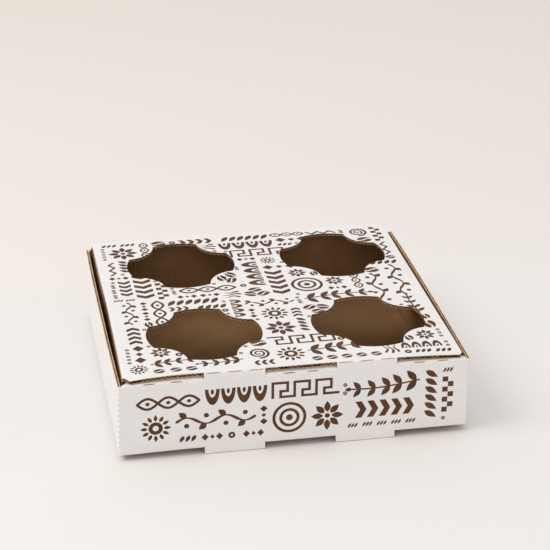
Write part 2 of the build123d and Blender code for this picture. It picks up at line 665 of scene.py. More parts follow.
@dataclass(frozen=True)
class Ornament:
    """Room for a plain ornament of the print, and the ways to fill it, drawn about its middle.

    A drawing is the loops that take ink and the loops left bare inside them. The numbers in the
    methods are shares of the ornament's width, height or radius. KINDS lists the ornaments with
    their widths, their heights and their numbers on AREA square millimetres.

    Fields:
        w: Its width.
        h: Its height.
    """

    w: float
    h: float

    Drawing = tuple[list[Loop], list[Loop]]

    @staticmethod
    def ellipse(x: float, y: float, rx: float, ry: float) -> Loop:
        """An ellipse as a loop.

        Args:
            x: Its middle from left to right.
            y: Its middle from low to high.
            rx: Half of its width.
            ry: Half of its height.

        Returns:
            The ellipse's outline.
        """
        step = 0.7
        count = max(12, int(2 * math.pi * max(rx, ry) / step))
        turn = np.linspace(0, 2 * math.pi, count, endpoint=False)
        return np.column_stack([x + rx * np.cos(turn), y + ry * np.sin(turn)])

    @staticmethod
    def stroke(points: np.ndarray, width: float | np.ndarray) -> Loop:
        """Draws a line with a broad pen.

        Args:
            points: One row for each point of the line.
            width: Width of the line, or one width for each point.

        Returns:
            The line's outline, with pointed round ends.
        """
        ahead = np.gradient(points, axis=0)
        ahead /= np.linalg.norm(ahead, axis=1)[:, None]
        aside = np.column_stack([-ahead[:, 1], ahead[:, 0]])
        half = (np.zeros(len(points)) + width)[:, None] / 2
        tip, tail = points[-1] + ahead[-1] * half[-1], points[0] - ahead[0] * half[0]
        left, right = points + aside * half, points - aside * half
        return np.concatenate([left, tip[None], right[::-1], tail[None]])

    @staticmethod
    def leaf(base: Point, angle: float, length: float, breadth: float) -> Loop:
        """A pointed leaf as a loop.

        Args:
            base: Where it leaves its stem.
            angle: Direction of its tip, in radians.
            length: Its length.
            breadth: Its greatest width.

        Returns:
            The leaf's outline.
        """
        u = np.linspace(0, 1, 12)
        bulge = breadth / 2 * np.sin(math.pi * u ** 0.85)
        upper, lower = (np.column_stack([u * length, side * bulge]) for side in (1, -1))
        local = np.concatenate([upper, lower[-2:0:-1]])
        return local @ turning(angle) + np.array(base)

    @classmethod
    def rays(cls, count: int, start: float, length: float, breadth: float) -> list[Loop]:
        """Leaves set evenly round the middle, at a distance from it."""
        angles = np.linspace(0, 2 * math.pi, count, endpoint=False)
        return [cls.leaf((start * math.cos(a), start * math.sin(a)), a, length, breadth) for a in angles]

    def bean(self) -> Drawing:
        """A coffee bean with its curved seam left bare.

        Returns:
            The drawing.
        """
        w, h = self.w, self.h
        u = np.linspace(-1, 1, 15)
        seam = np.column_stack([u * w * 0.56, h * 0.14 * np.sin(math.pi * u)])
        return [self.ellipse(0, 0, w / 2, h / 2)], [self.stroke(seam, h * 0.15)]

    def beans(self) -> Drawing:
        """Three beans that lie together.

        Returns:
            The drawing.
        """
        w, h = self.w, self.h
        solids, holes = [], []
        size = min(w * 0.52, h * 0.8)
        for x, y, angle in ((-0.24, 0.2, 0.5), (0.25, 0.16, -0.6), (0.02, -0.26, 0.1)):
            bean, seam = Ornament(size, size * 0.68).bean()
            solids += [loop @ turning(angle) + (x * w, y * h) for loop in bean]
            holes += [loop @ turning(angle) + (x * w, y * h) for loop in seam]
        return solids, holes

    def sprig(self) -> Drawing:
        """A curved stem with pairs of leaves.

        Returns:
            The drawing.
        """
        w, h = self.w, self.h
        u = np.linspace(0, 1, 24)
        stem = np.column_stack([(u - 0.5) * w, 0.16 * h * np.sin(2.6 * u - 0.4)])
        solids = [self.stroke(stem, 1.2)]
        pairs = max(3, round(w / (0.58 * h)))
        for i in range(pairs):
            at = stem[int((i + 0.35) / pairs * 23)]
            size = h * (0.64 - 0.2 * i / pairs)
            solids += [self.leaf(tuple(at), side * 0.85, size, size * 0.46) for side in (1, -1)]
        solids.append(self.leaf(tuple(stem[-1]), 0.0, h * 0.3, h * 0.18))
        return solids, []

    def vine(self) -> Drawing:
        """A waving stem with a leaf and a berry at each turn.

        Returns:
            The drawing.
        """
        w, h = self.w, self.h
        turns = max(2, round(w / (h * 1.6)))
        u = np.linspace(0, 1, 16 * turns + 1)
        line = np.column_stack([(u - 0.5) * w, 0.18 * h * np.sin(2 * math.pi * turns * u)])
        solids = [self.stroke(line, h * (0.11 + 0.04 * np.cos(4 * math.pi * turns * u)))]
        for k in range(2 * turns):
            x, side = ((k + 0.5) / (2 * turns) - 0.5) * w, (-1) ** k
            solids.append(self.leaf((x, 0.18 * h * side), side * 0.7, 0.46 * h, 0.3 * h))
            solids.append(self.ellipse(x, -0.24 * h * side, 0.12 * h, 0.12 * h))
        return solids, []

    def braid(self) -> Drawing:
        """Two strands that cross again and again, with a dot in each eye.

        Returns:
            The drawing.
        """
        w, h = self.w, self.h
        turns = max(3, round(w / (1.25 * h)))
        u = np.linspace(0, 1, 12 * turns + 1)
        wave = 0.4 * h * np.sin(math.pi * turns * u)
        solids = [self.stroke(np.column_stack([(u - 0.5) * w, side * wave]), 0.19 * h) for side in (1, -1)]
        solids += [self.ellipse(((k + 0.5) / turns - 0.5) * w, 0, 0.15 * h, 0.13 * h) for k in range(turns)]
        return solids, []

    def rope(self) -> Drawing:
        """A row of slanting strands, as of a twisted rope.

        Returns:
            The drawing.
        """
        w, h = self.w, self.h
        count = max(3, round(w / (h * 0.72)))
        pitch, lean = w / count, 1.0
        length = 0.98 * h / math.sin(lean)
        shift = length * math.cos(lean) / 2
        return [
            self.leaf((-w / 2 + (i + 0.5) * pitch - shift, -0.49 * h), lean, length, 0.7 * pitch)
            for i in range(count)
        ], []

    def sun(self) -> Drawing:
        """A disc with a bare middle and rays round it.

        Returns:
            The drawing.
        """
        r = min(self.w, self.h) / 2
        rays = self.rays(12, 0.52 * r, 0.48 * r, 0.24 * r)
        return [self.ellipse(0, 0, 0.46 * r, 0.46 * r), *rays], [self.ellipse(0, 0, 0.2 * r, 0.2 * r)]

    def spiral(self) -> Drawing:
        """A spiral that thins towards its middle.

        Returns:
            The drawing.
        """
        size = min(self.w, self.h)
        u = np.linspace(0, 1, 60)
        angle, reach = u * 4.4 * math.pi, (1 - 0.88 * u) * size * 0.44
        line = np.column_stack([reach * np.cos(angle), reach * np.sin(angle)])
        return [self.stroke(line, size * (0.12 - 0.05 * u))], []

    def rings(self) -> Drawing:
        """Two rings round a dot.

        Returns:
            The drawing.
        """
        r = min(self.w, self.h) / 2
        bands = [self.band(r, r * 0.82), self.band(r * 0.6, r * 0.42)]
        return [*bands, self.ellipse(0, 0, r * 0.2, r * 0.2)], []

    def bead(self) -> Drawing:
        """A small disc with a bare eye."""
        w, h = self.w, self.h
        return [self.ellipse(0, 0, w / 2, h / 2)], [self.ellipse(0, 0, w * 0.16, h * 0.16)]

    def band(self, outer: float, inner: float) -> Loop:
        """A ring as one loop with a seam, so that it stays open inside."""
        out, hole = self.ellipse(0, 0, outer, outer), self.ellipse(0, 0, inner, inner)
        return np.concatenate([out, out[:1], hole[:1], hole[::-1]])

    def rosette(self) -> Drawing:
        """Eight petals round an eye.

        Returns:
            The drawing.
        """
        r = min(self.w, self.h) / 2
        petals = self.rays(8, r * 0.26, r * 0.74, r * 0.4)
        return [*petals, self.ellipse(0, 0, r * 0.16, r * 0.16)], []

    def steam(self) -> Drawing:
        """Three rising curls.

        Returns:
            The drawing.
        """
        w, h = self.w, self.h
        u = np.linspace(0, 1, 18)
        curls = []
        for i in (-1, 0, 1):
            x = i * w * 0.32 + w * 0.1 * np.sin(2 * math.pi * u + i)
            y = (u - 0.5) * h * (1 - 0.18 * abs(i))
            curls.append(self.stroke(np.column_stack([x, y]), 0.16 * w * (1.2 - u)))
        return curls, []

    def chevrons(self) -> Drawing:
        """A row of bold arrow points.

        Returns:
            The drawing.
        """
        w, h = self.w, self.h
        count = max(3, round(w / (h * 0.78)))
        pitch = w / (count + 0.4)
        thick = pitch * 0.54
        solids = []
        for i in range(count):
            x = -w / 2 + i * pitch
            solids.append(np.array([
                (x, h / 2), (x + thick, h / 2), (x + thick + pitch * 0.42, 0), (x + thick, -h / 2),
                (x, -h / 2), (x + pitch * 0.42, 0),
            ]))
        return solids, []

    def meander(self) -> Drawing:
        """A running key, bent from one line of even breadth.

        Returns:
            The drawing.
        """
        w, h = self.w, self.h
        count = max(2, round(w / (h * 1.25)))
        pitch, pen = w / count, h * 0.15
        key = [(0, -0.42), (0, 0.42), (0.68, 0.42), (0.68, -0.08), (0.36, -0.08), (0.36, -0.42), (1, -0.42)]
        solids = []
        for i in range(count):
            rows = [np.array((-w / 2 + (i + a) * pitch, b * h)) for a, b in key]
            for a, b in zip(rows, rows[1:]):
                ahead = (b - a) / np.linalg.norm(b - a) * pen / 2
                aside = np.array((-ahead[1], ahead[0]))
                near, far = a - ahead, b + ahead
                solids.append(np.array([near + aside, far + aside, far - aside, near - aside]))
        return solids, []

    def arches(self) -> Drawing:
        """A row of bold arches.

        Returns:
            The drawing.
        """
        w, h = self.w, self.h
        count = max(3, round(w / (h * 0.85)))
        pitch = w / count
        reach, rise, step = pitch * 0.46, 0.3, 0.6
        solids = []
        for i in range(count):
            x = -w / 2 + (i + 0.5) * pitch
            middle = (x, -h / 2 + rise)
            outer = arc(middle, reach, 0, math.pi, step)
            inner = arc(middle, pitch * 0.24, math.pi, 0, step)
            tall = np.array(outer + inner)
            tall[:, 1] = -h / 2 + (tall[:, 1] + h / 2) * h / (reach + rise)
            solids.append(tall)
            solids.append(self.ellipse(x, -h * 0.28, pitch * 0.1, h * 0.16))
        return solids, []

    def checks(self) -> Drawing:
        """Two rows of squares set in turn.

        Returns:
            The drawing.
        """
        w, h = self.w, self.h
        size = h / 2
        count = int(w / size)
        solids = []
        for i in range(count):
            x, y = -count * size / 2 + i * size, (0 if i % 2 else -size)
            solids.append(rectangle(x, x + size, y, y + size))
        return solids, []

    def diamonds(self) -> Drawing:
        """A row of diamonds, large and small in turn.

        Returns:
            The drawing.
        """
        w, h = self.w, self.h
        count = max(3, round(w / (h * 0.95)))
        pitch = w / count
        solids = []
        for i in range(count):
            x, r = -w / 2 + (i + 0.5) * pitch, (0.32 if i % 2 else 0.5)
            solids.append(np.array([(x - r * pitch, 0), (x, -r * h), (x + r * pitch, 0), (x, r * h)]))
        return solids, []

    def zigzag(self) -> Drawing:
        """A bold zigzag line.

        Returns:
            The drawing.
        """
        w, h = self.w, self.h
        count = max(4, round(w / (h * 0.7)))
        line = np.column_stack([
            np.linspace(-w / 2, w / 2, count + 1),
            h * 0.3 * (-1.0) ** np.arange(count + 1),
        ])
        pen = h * 0.17
        return [np.concatenate([line + (0, pen), (line - (0, pen))[::-1]])], []

    AREA = 10000.0
    KINDS = (
        (vine, 54, 15, 0.5), (chevrons, 46, 13, 0.4), (sprig, 48, 17, 0.5), (arches, 44, 13, 0.4),
        (meander, 46, 13, 0.4), (rings, 24, 24, 0.3), (rosette, 23, 23, 0.5), (braid, 42, 10, 0.5),
        (sun, 21, 21, 0.5), (rope, 38, 9, 0.5), (vine, 36, 12, 0.6), (spiral, 17, 17, 0.5),
        (beans, 20, 16, 0.7), (chevrons, 30, 9, 0.7), (sprig, 30, 12, 0.8), (arches, 30, 9, 0.5),
        (checks, 28, 8, 0.5), (rosette, 15, 15, 1.0), (braid, 27, 7.5, 0.8), (diamonds, 26, 8, 0.7),
        (rope, 22, 7, 1.0), (sun, 13, 13, 1.2), (zigzag, 24, 7, 0.8), (steam, 11, 13, 0.8),
        (bean, 12, 9, 2.0), (chevrons, 17, 7, 1.5), (sprig, 17, 9, 2.0), (rings, 10, 10, 1.5),
        (diamonds, 15, 5.5, 2.5), (bean, 8, 6, 5.0), (rope, 12, 5, 4.0), (bead, 5, 5, 7.0),
        (rope, 7, 4, 6.0), (bead, 3, 3, 16.0),
    )


@dataclass
class PrintField:
    """A printed panel: ornaments of several kinds and sizes, packed side by side.

    Fields:
        low: Lowest corner of the printed rectangle, seen from outside.
        high: Highest corner.
        to_flat: Turns points seen from outside into (s, t).
        bare: Loops, seen from outside, that take no print.
        seed: Starts the order of the random draws.
        gap: Least room between two ornaments.
    """

    low: Point
    high: Point
    to_flat: Callable[[np.ndarray], np.ndarray]
    bare: list[Loop]
    seed: int
    gap: float

    CELL = 0.8
    DRAWS = 30
    CUT_AWAY = 0.2

    def stamps(self) -> list[Mark]:
        """Packs the panel with ornaments.

        Returns:
            One mark for each ornament.
        """
        draw = random.Random(self.seed)
        cols = int((self.high[0] - self.low[0]) / self.CELL)
        rows = int((self.high[1] - self.low[1]) / self.CELL)
        x = self.low[0] + (np.arange(cols) + 0.5) * self.CELL
        y = self.low[1] + (np.arange(rows) + 0.5) * self.CELL
        grid = np.column_stack([np.repeat(x, rows), np.tile(y, cols)])
        void = np.zeros(len(grid), bool)
        for loop in self.bare:
            void |= inside(grid, loop)
        void = void.reshape(cols, rows)
        taken = np.zeros_like(void)
        marks = []
        board = (cols * rows - void.sum()) * self.CELL ** 2
        for drawing, w, h, share in Ornament.KINDS:
            for _ in range(math.ceil(share * board / Ornament.AREA)):
                mark = self.stamp(draw, drawing, w, h, void, taken)
                if mark:
                    marks.append(mark)
        return marks

    @staticmethod
    def within(cells: np.ndarray, nx: int, ny: int) -> np.ndarray:
        """Counts the marked cells in a box, for each place of the box."""
        total = np.pad(cells.astype(int).cumsum(0).cumsum(1), ((1, 0), (1, 0)))
        return total[nx:, ny:] - total[:-nx, ny:] - total[nx:, :-ny] + total[:-nx, :-ny]

    def stamp(
        self, draw: random.Random, drawing: Callable[[Ornament], Ornament.Drawing], w: float, h: float,
        void: np.ndarray, taken: np.ndarray,
    ) -> Mark | None:
        """Finds room for one ornament, close to the ones already there.

        Args:
            draw: Source of the random draws.
            drawing: The ornament.
            w: Its width.
            h: Its height.
            void: Cells that take no print.
            taken: Cells in use, which the ornament's cells join.

        Returns:
            The ornament as a mark, or None where no room was found.
        """
        first = draw.randrange(4)
        for quarter in (first, (first + 1) % 4):
            wide, tall = (w, h) if quarter % 2 == 0 else (h, w)
            nx, ny = math.ceil((wide + self.gap) / self.CELL), math.ceil((tall + self.gap) / self.CELL)
            if nx >= taken.shape[0] or ny >= taken.shape[1]:
                continue
            free = (self.within(taken, nx, ny) == 0) & (self.within(void, nx, ny) <= self.CUT_AWAY * nx * ny)
            spots = np.argwhere(free)
            if not len(spots):
                continue
            beside = self.within(np.pad(taken, 1), nx + 2, ny + 2)
            tries = draw.sample(range(len(spots)), min(self.DRAWS, len(spots)))
            i, j = max((tuple(spots[k]) for k in tries), key=lambda spot: beside[spot])
            taken[i:i + nx, j:j + ny] = True
            turn = turning(quarter * math.pi / 2)
            middle = (self.low[0] + (i + nx / 2) * self.CELL, self.low[1] + (j + ny / 2) * self.CELL)
            drawn = drawing(Ornament(w, h))
            return Mark(*([self.to_flat(loop @ turn + middle) for loop in loops] for loops in drawn))
        return None


class NodeKit:
    """Adds and joins nodes of one node tree."""

    def __init__(self, tree: bpy.types.NodeTree) -> None:
        """Empties the tree and keeps it."""
        self.tree = tree
        tree.nodes.clear()

    def add(self, kind: str, inputs: dict | None = None, **settings: object) -> bpy.types.Node:
        """Adds a node.

        Args:
            kind: Its type.
            inputs: Values or outgoing sockets for its inputs, by name or number.
            settings: Its own properties.

        Returns:
            The new node.
        """
        node = self.tree.nodes.new(kind)
        for name, value in settings.items():
            setattr(node, name, value)
        for name, value in (inputs or {}).items():
            if isinstance(value, bpy.types.NodeSocket):
                self.tree.links.new(value, node.inputs[name])
            else:
                node.inputs[name].default_value = value
        return node

    def mix(self, share: object, a: object, b: object) -> bpy.types.NodeSocket:
        """Mixes two colours, by the share that the second one has."""
        return self.add("ShaderNodeMix", {0: share, 6: a, 7: b}, data_type="RGBA").outputs[2]

    def maths(self, operation: str, a: object, b: object = 0.0, c: object = 0.0) -> bpy.types.NodeSocket:
        """Works out one number from up to three others."""
        return self.add("ShaderNodeMath", {0: a, 1: b, 2: c}, operation=operation).outputs[0]

    def span(
        self, value: object, low: float, high: float, to_low: float, to_high: float
    ) -> bpy.types.NodeSocket:
        """Maps a range of values to another range, clamped."""
        inputs = {0: value, 1: low, 2: high, 3: to_low, 4: to_high}
        return self.add("ShaderNodeMapRange", inputs).outputs[0]


class PaperGroups:
    """Shader groups that the papers share: fibres, flute lines and fold wear."""

    def __init__(self) -> None:
        """Builds the groups once."""
        self.fibres = self.make_fibres()
        self.flute_lines = self.make_flute_lines()
        self.fold_wear = self.make_fold_wear()

    @staticmethod
    def start(
        name: str, inputs: dict[str, tuple[str, object]], outputs: dict[str, str]
    ) -> tuple[NodeKit, bpy.types.Node, bpy.types.Node]:
        """Opens a new group with its sockets.

        Args:
            name: The group's name.
            inputs: Socket type and default of each input.
            outputs: Socket type of each output.

        Returns:
            The group's kit, its input node and its output node.
        """
        tree = bpy.data.node_groups.new(name, "ShaderNodeTree")
        for label, (kind, default) in inputs.items():
            tree.interface.new_socket(label, in_out="INPUT", socket_type=kind).default_value = default
        for label, kind in outputs.items():
            tree.interface.new_socket(label, in_out="OUTPUT", socket_type=kind)
        kit = NodeKit(tree)
        return kit, kit.add("NodeGroupInput"), kit.add("NodeGroupOutput")

    def make_fibres(self) -> bpy.types.NodeTree:
        """Paper fibres: cloudy tone, stray flecks and a fine grain.

        Returns:
            The group.
        """
        kit, given, out = self.start(
            "paper_fibres",
            {
                "Paper": ("NodeSocketColor", (1, 1, 1, 1)),
                "Fleck": ("NodeSocketColor", (0.5, 0.4, 0.3, 1)),
                "Fleck share": ("NodeSocketFloat", 0.2),
                "Cloud": ("NodeSocketFloat", 0.1),
                "Grain": ("NodeSocketFloat", 0.1),
            },
            {"Colour": "NodeSocketColor", "Height": "NodeSocketFloat", "Roughness": "NodeSocketFloat"},
        )
        place = kit.add("ShaderNodeTexCoord").outputs["Object"]
        along = kit.add("ShaderNodeMapping", {"Vector": place, "Scale": (1.0, 0.6, 0.75)}).outputs[0]
        cloud = kit.add("ShaderNodeTexNoise", {"Vector": place, "Scale": 55.0, "Detail": 4.0}).outputs[0]
        grain = kit.add("ShaderNodeTexNoise", {"Vector": along, "Scale": 1500.0, "Detail": 3.0}).outputs[0]
        fleck = kit.add("ShaderNodeTexNoise", {"Vector": along, "Scale": 760.0, "Detail": 1.0}).outputs[0]
        shade = kit.maths("MULTIPLY", kit.span(cloud, 0.35, 0.65, -1.0, 1.0), given.outputs["Cloud"])
        fine = kit.maths("MULTIPLY", kit.span(grain, 0.3, 0.7, -1.0, 1.0), given.outputs["Grain"])
        level = kit.maths("ADD", kit.maths("ADD", shade, fine), 1.0)
        paper = given.outputs["Paper"]
        toned = kit.add("ShaderNodeVectorMath", {0: paper, 3: level}, operation="SCALE").outputs[0]
        spots = kit.maths("MULTIPLY", kit.span(fleck, 0.67, 0.74, 0.0, 1.0), given.outputs["Fleck share"])
        kit.tree.links.new(kit.mix(spots, toned, given.outputs["Fleck"]), out.inputs["Colour"])
        kit.tree.links.new(grain, out.inputs["Height"])
        kit.tree.links.new(kit.span(cloud, 0.3, 0.7, -0.05, 0.05), out.inputs["Roughness"])
        return kit.tree

    def make_flute_lines(self) -> bpy.types.NodeTree:
        """The faint lines where a liner sinks between two flutes.

        Returns:
            The group.
        """
        kit, given, out = self.start(
            "flute_lines",
            {"Pitch": ("NodeSocketFloat", 0.0033), "Strength": ("NodeSocketFloat", 0.5)},
            {"Height": "NodeSocketFloat"},
        )
        flat = kit.add("ShaderNodeUVMap", uv_map="flat").outputs[0]
        s = kit.add("ShaderNodeSeparateXYZ", {0: flat}).outputs[0]
        turn = kit.maths("DIVIDE", kit.maths("MULTIPLY", s, 2 * math.pi), given.outputs["Pitch"])
        wave = kit.maths("SINE", turn)
        kit.tree.links.new(kit.maths("MULTIPLY", wave, given.outputs["Strength"]), out.inputs["Height"])
        return kit.tree

    def make_fold_wear(self) -> bpy.types.NodeTree:
        """Wear along the folds, where the paper's skin is rubbed and lightly crazed.

        Returns:
            The group.
        """
        kit, given, out = self.start(
            "fold_wear",
            {
                "Colour": ("NodeSocketColor", (1, 1, 1, 1)),
                "Worn": ("NodeSocketColor", (0.6, 0.5, 0.4, 1)),
                "Strength": ("NodeSocketFloat", 0.3),
            },
            {"Colour": "NodeSocketColor", "Height": "NodeSocketFloat"},
        )
        folds = kit.add("ShaderNodeUVMap", uv_map="folds").outputs[0]
        share = kit.add("ShaderNodeSeparateXYZ", {0: folds}).outputs[0]
        place = kit.add("ShaderNodeTexCoord").outputs["Object"]
        patch = kit.add("ShaderNodeTexNoise", {"Vector": place, "Scale": 420.0, "Detail": 5.0}).outputs[0]
        rub_and_shade = kit.maths("MULTIPLY", kit.span(patch, 0.5, 0.72, 0.0, 1.0), kit.maths("POWER", share, 3.0))
        amount = kit.maths("MULTIPLY", rub_and_shade, given.outputs["Strength"])
        colour = kit.mix(amount, given.outputs["Colour"], given.outputs["Worn"])
        kit.tree.links.new(colour, out.inputs["Colour"])
        kit.tree.links.new(kit.maths("MULTIPLY", rub_and_shade, -1.0), out.inputs["Height"])
        return kit.tree


@dataclass(frozen=True)
class PaperFinish:
    """A paper face of the board.

    Fields:
        name: Name of the material.
        paper: Its main colour.
        fleck: Colour of its stray fibres.
        worn: Colour that shows where a fold is rubbed.
        fleck_share: How strongly the fibres show.
        cloud: How much its tone drifts over a few centimetres.
        grain: How much its tone changes from fibre to fibre.
        roughness: Roughness of its surface.
        fibre_height: Height of its fibres, in metres.
        flute_height: Depth to which it sinks between two flutes, in metres.
        wear: How worn its folds are.
        gloss: Strength of its reflections.
    """

    WEAR_DEPTH = 4e-5

    name: str
    paper: Colour
    fleck: Colour
    worn: Colour
    fleck_share: float
    cloud: float
    grain: float
    roughness: float
    fibre_height: float
    flute_height: float = 0.0
    wear: float = 0.0
    gloss: float = 0.0

    def material(self, groups: PaperGroups, board: Board) -> bpy.types.Material:
        """Makes the material.

        Args:
            groups: The shared shader groups.
            board: The board, for the pitch of its flutes.

        Returns:
            The new material.
        """
        material = bpy.data.materials.new(self.name)
        material.use_nodes = True
        kit = NodeKit(material.node_tree)
        fibres = kit.add(
            "ShaderNodeGroup",
            {
                "Paper": (*self.paper, 1), "Fleck": (*self.fleck, 1), "Fleck share": self.fleck_share,
                "Cloud": self.cloud, "Grain": self.grain,
            },
            node_tree=groups.fibres,
        ).outputs
        lines = kit.add(
            "ShaderNodeGroup",
            {"Pitch": board.pitch * MM, "Strength": self.flute_height},
            node_tree=groups.flute_lines,
        ).outputs
        wear = kit.add(
            "ShaderNodeGroup",
            {"Colour": fibres["Colour"], "Worn": (*self.worn, 1), "Strength": self.wear},
            node_tree=groups.fold_wear,
        ).outputs
        rough = kit.maths("ADD", fibres["Roughness"], self.roughness)
        height = kit.maths("MULTIPLY_ADD", fibres["Height"], self.fibre_height, lines["Height"])
        height = kit.maths("MULTIPLY_ADD", wear["Height"], self.WEAR_DEPTH * self.wear, height)
        bump = kit.add("ShaderNodeBump", {"Height": height, "Distance": 1.0, "Strength": 1.0})
        shader = kit.add(
            "ShaderNodeBsdfPrincipled",
            {
                "Base Color": wear["Colour"], "Roughness": rough, "Normal": bump.outputs[0],
                "Specular IOR Level": self.gloss,
            },
        )
        kit.add("ShaderNodeOutputMaterial", {"Surface": shader.outputs[0]})
        return material


FINISHES = {
    Skin.WHITE: PaperFinish(
        "white_liner", (0.845, 0.822, 0.812), (0.6, 0.5, 0.4), (0.62, 0.5, 0.37),
        fleck_share=0.4, cloud=0.014, grain=0.025, roughness=0.62, fibre_height=2e-5,
        flute_height=1.2e-5, wear=0.35, gloss=0.2,
    ),
    Skin.KRAFT: PaperFinish(
        "kraft_liner", (0.32, 0.178, 0.082), (0.18, 0.1, 0.048), (0.38, 0.25, 0.14),
        fleck_share=0.5, cloud=0.07, grain=0.1, roughness=0.78, fibre_height=5e-5, flute_height=5e-5,
        wear=0.2, gloss=0.08,
    ),
    Skin.RAW: PaperFinish(
        "cut_edge", (0.84, 0.6, 0.375), (0.46, 0.29, 0.15), (0.7, 0.5, 0.31),
        fleck_share=0.6, cloud=0.1, grain=0.2, roughness=0.85, fibre_height=6e-5, gloss=0.05,
    ),
    Skin.INK: PaperFinish(
        "brown_ink", (0.1, 0.0425, 0.017), (0.26, 0.165, 0.11), (0.3, 0.2, 0.14),
        fleck_share=0.4, cloud=0.2, grain=0.3, roughness=0.6, fibre_height=1.5e-5, flute_height=1.2e-5,
        wear=0.4, gloss=0.2,
    ),
    Skin.TORN: PaperFinish(
        "torn_dash", (0.48, 0.32, 0.19), (0.26, 0.15, 0.08), (0.5, 0.35, 0.22),
        fleck_share=0.5, cloud=0.15, grain=0.3, roughness=0.85, fibre_height=1e-4, gloss=0.1,
    ),
    # Brown fluted paper, darkened to about a third of the kraft liner's tone as painted shade for the hollows
    # between the flutes.
    Skin.FLUTE_SHADE: PaperFinish(
        "fluted_paper_and_shade", (0.1, 0.045, 0.015), (0.06, 0.026, 0.008), (0.12, 0.06, 0.024),
        fleck_share=0.5, cloud=0.08, grain=0.12, roughness=0.9, fibre_height=5e-5,
    ),
    # Painted brown shade: where the flaps' white liner hangs in the dark gap beside a wall, it is coloured
    # brown in place of the shade and the light that the kraft wall bounces there.
    Skin.GAP_SHADE: PaperFinish(
        "flap_gap_shade", (0.63, 0.45, 0.3), (0.42, 0.27, 0.15), (0.45, 0.3, 0.18),
        fleck_share=0.5, cloud=0.05, grain=0.1, roughness=0.8, fibre_height=3e-5, flute_height=1.2e-5,
    ),
}


@dataclass(frozen=True)
class Sway:
    """One slow wave of the standing board.

    Fields:
        reach: How far it moves a point at most.
        turns: Radians that it turns along each axis, over the stance's spans.
        phase: Its phase at the origin.
    """

    reach: float
    turns: tuple[float, float, float]
    phase: float = 0.0

    def at(self, spans: np.ndarray) -> np.ndarray:
        """How far it moves each point, given as one row of spans."""
        return self.reach * np.sin(spans @ np.array(self.turns) + self.phase)


@dataclass(frozen=True)
class Stance:
    """How the folded board stands: a little off true, as paper does, and inside its outer sizes.

    Fields:
        spans: Lengths along x, y and z that the waves are measured in.
        sideways: The waves that move it sideways.
        back: The waves that move it back and forth.
        up: The waves that move it up and down.
        drawn_in_x: How far the sides lie inside the full width.
        drawn_in_y: How far the front and the rear lie inside the full depth.
        sunk: How far the lid lies below the full height.
        stiff: Distance from the middle at which the left side starts to lean.
        lean: How far the left side leans out, all along.
        lean_front: How much more it leans out at the front.
        lean_foot: How much more again at the front's foot.
        sag: How far the bottom hangs down at its left front corner.
        hanging_from: Height from which the sag moves the board, so that the feet stay on the floor.
    """

    spans: tuple[float, float, float] = (62.0, 62.0, 48.0)
    sideways: tuple[Sway, Sway] = (Sway(0.08, (0.0, 2.1, 1.3)), Sway(0.05, (0.0, 4.3, 0.0), 0.7))
    back: tuple[Sway, Sway] = (Sway(0.1, (1.7, 0.0, 0.9), 0.8), Sway(0.05, (4.1, 0.0, 0.0)))
    up: tuple[Sway, Sway] = (Sway(0.12, (1.9, 1.1, 0.0)), Sway(0.08, (1.7, 3.7, 0.0)))
    drawn_in_x: float = 0.14
    drawn_in_y: float = 0.16
    sunk: float = 0.2
    stiff: float = 60.0
    lean: float = 0.25
    lean_front: float = 0.65
    lean_foot: float = 0.45
    sag: float = 1.2
    hanging_from: float = 3.0

    def settle(self, xyz: np.ndarray, sizes: Carrier) -> np.ndarray:
        """Moves points of the true carrier to where they settle.

        Args:
            xyz: Points of the carrier.
            sizes: Its sizes.

        Returns:
            The points, moved by a millimetre or so at most.
        """
        x, y, z = xyz.T
        calm = np.clip(z / sizes.height, 0, 1)
        spans = xyz / self.spans
        sway_x, sway_y, sway_z = (a.at(spans) + b.at(spans) for a, b in (self.sideways, self.back, self.up))
        left = np.clip((-x - self.stiff) / (sizes.half_w - self.stiff), 0, 1)
        front = np.clip(0.5 - y / sizes.depth, 0, 1)
        lean = left * (self.lean + front * (self.lean_front + self.lean_foot * (1 - calm)))
        sag = self.sag * left ** 2 * front ** 4 * (1 - calm) * (z > self.hanging_from)
        out = xyz.copy()
        out[:, 0] += calm * sway_x - self.drawn_in_x * x / sizes.half_w - lean
        out[:, 1] += calm * sway_y - self.drawn_in_y * y / sizes.half_d
        out[:, 2] += calm * (sway_z - self.sunk) - sag
        return out


STANCE = Stance()


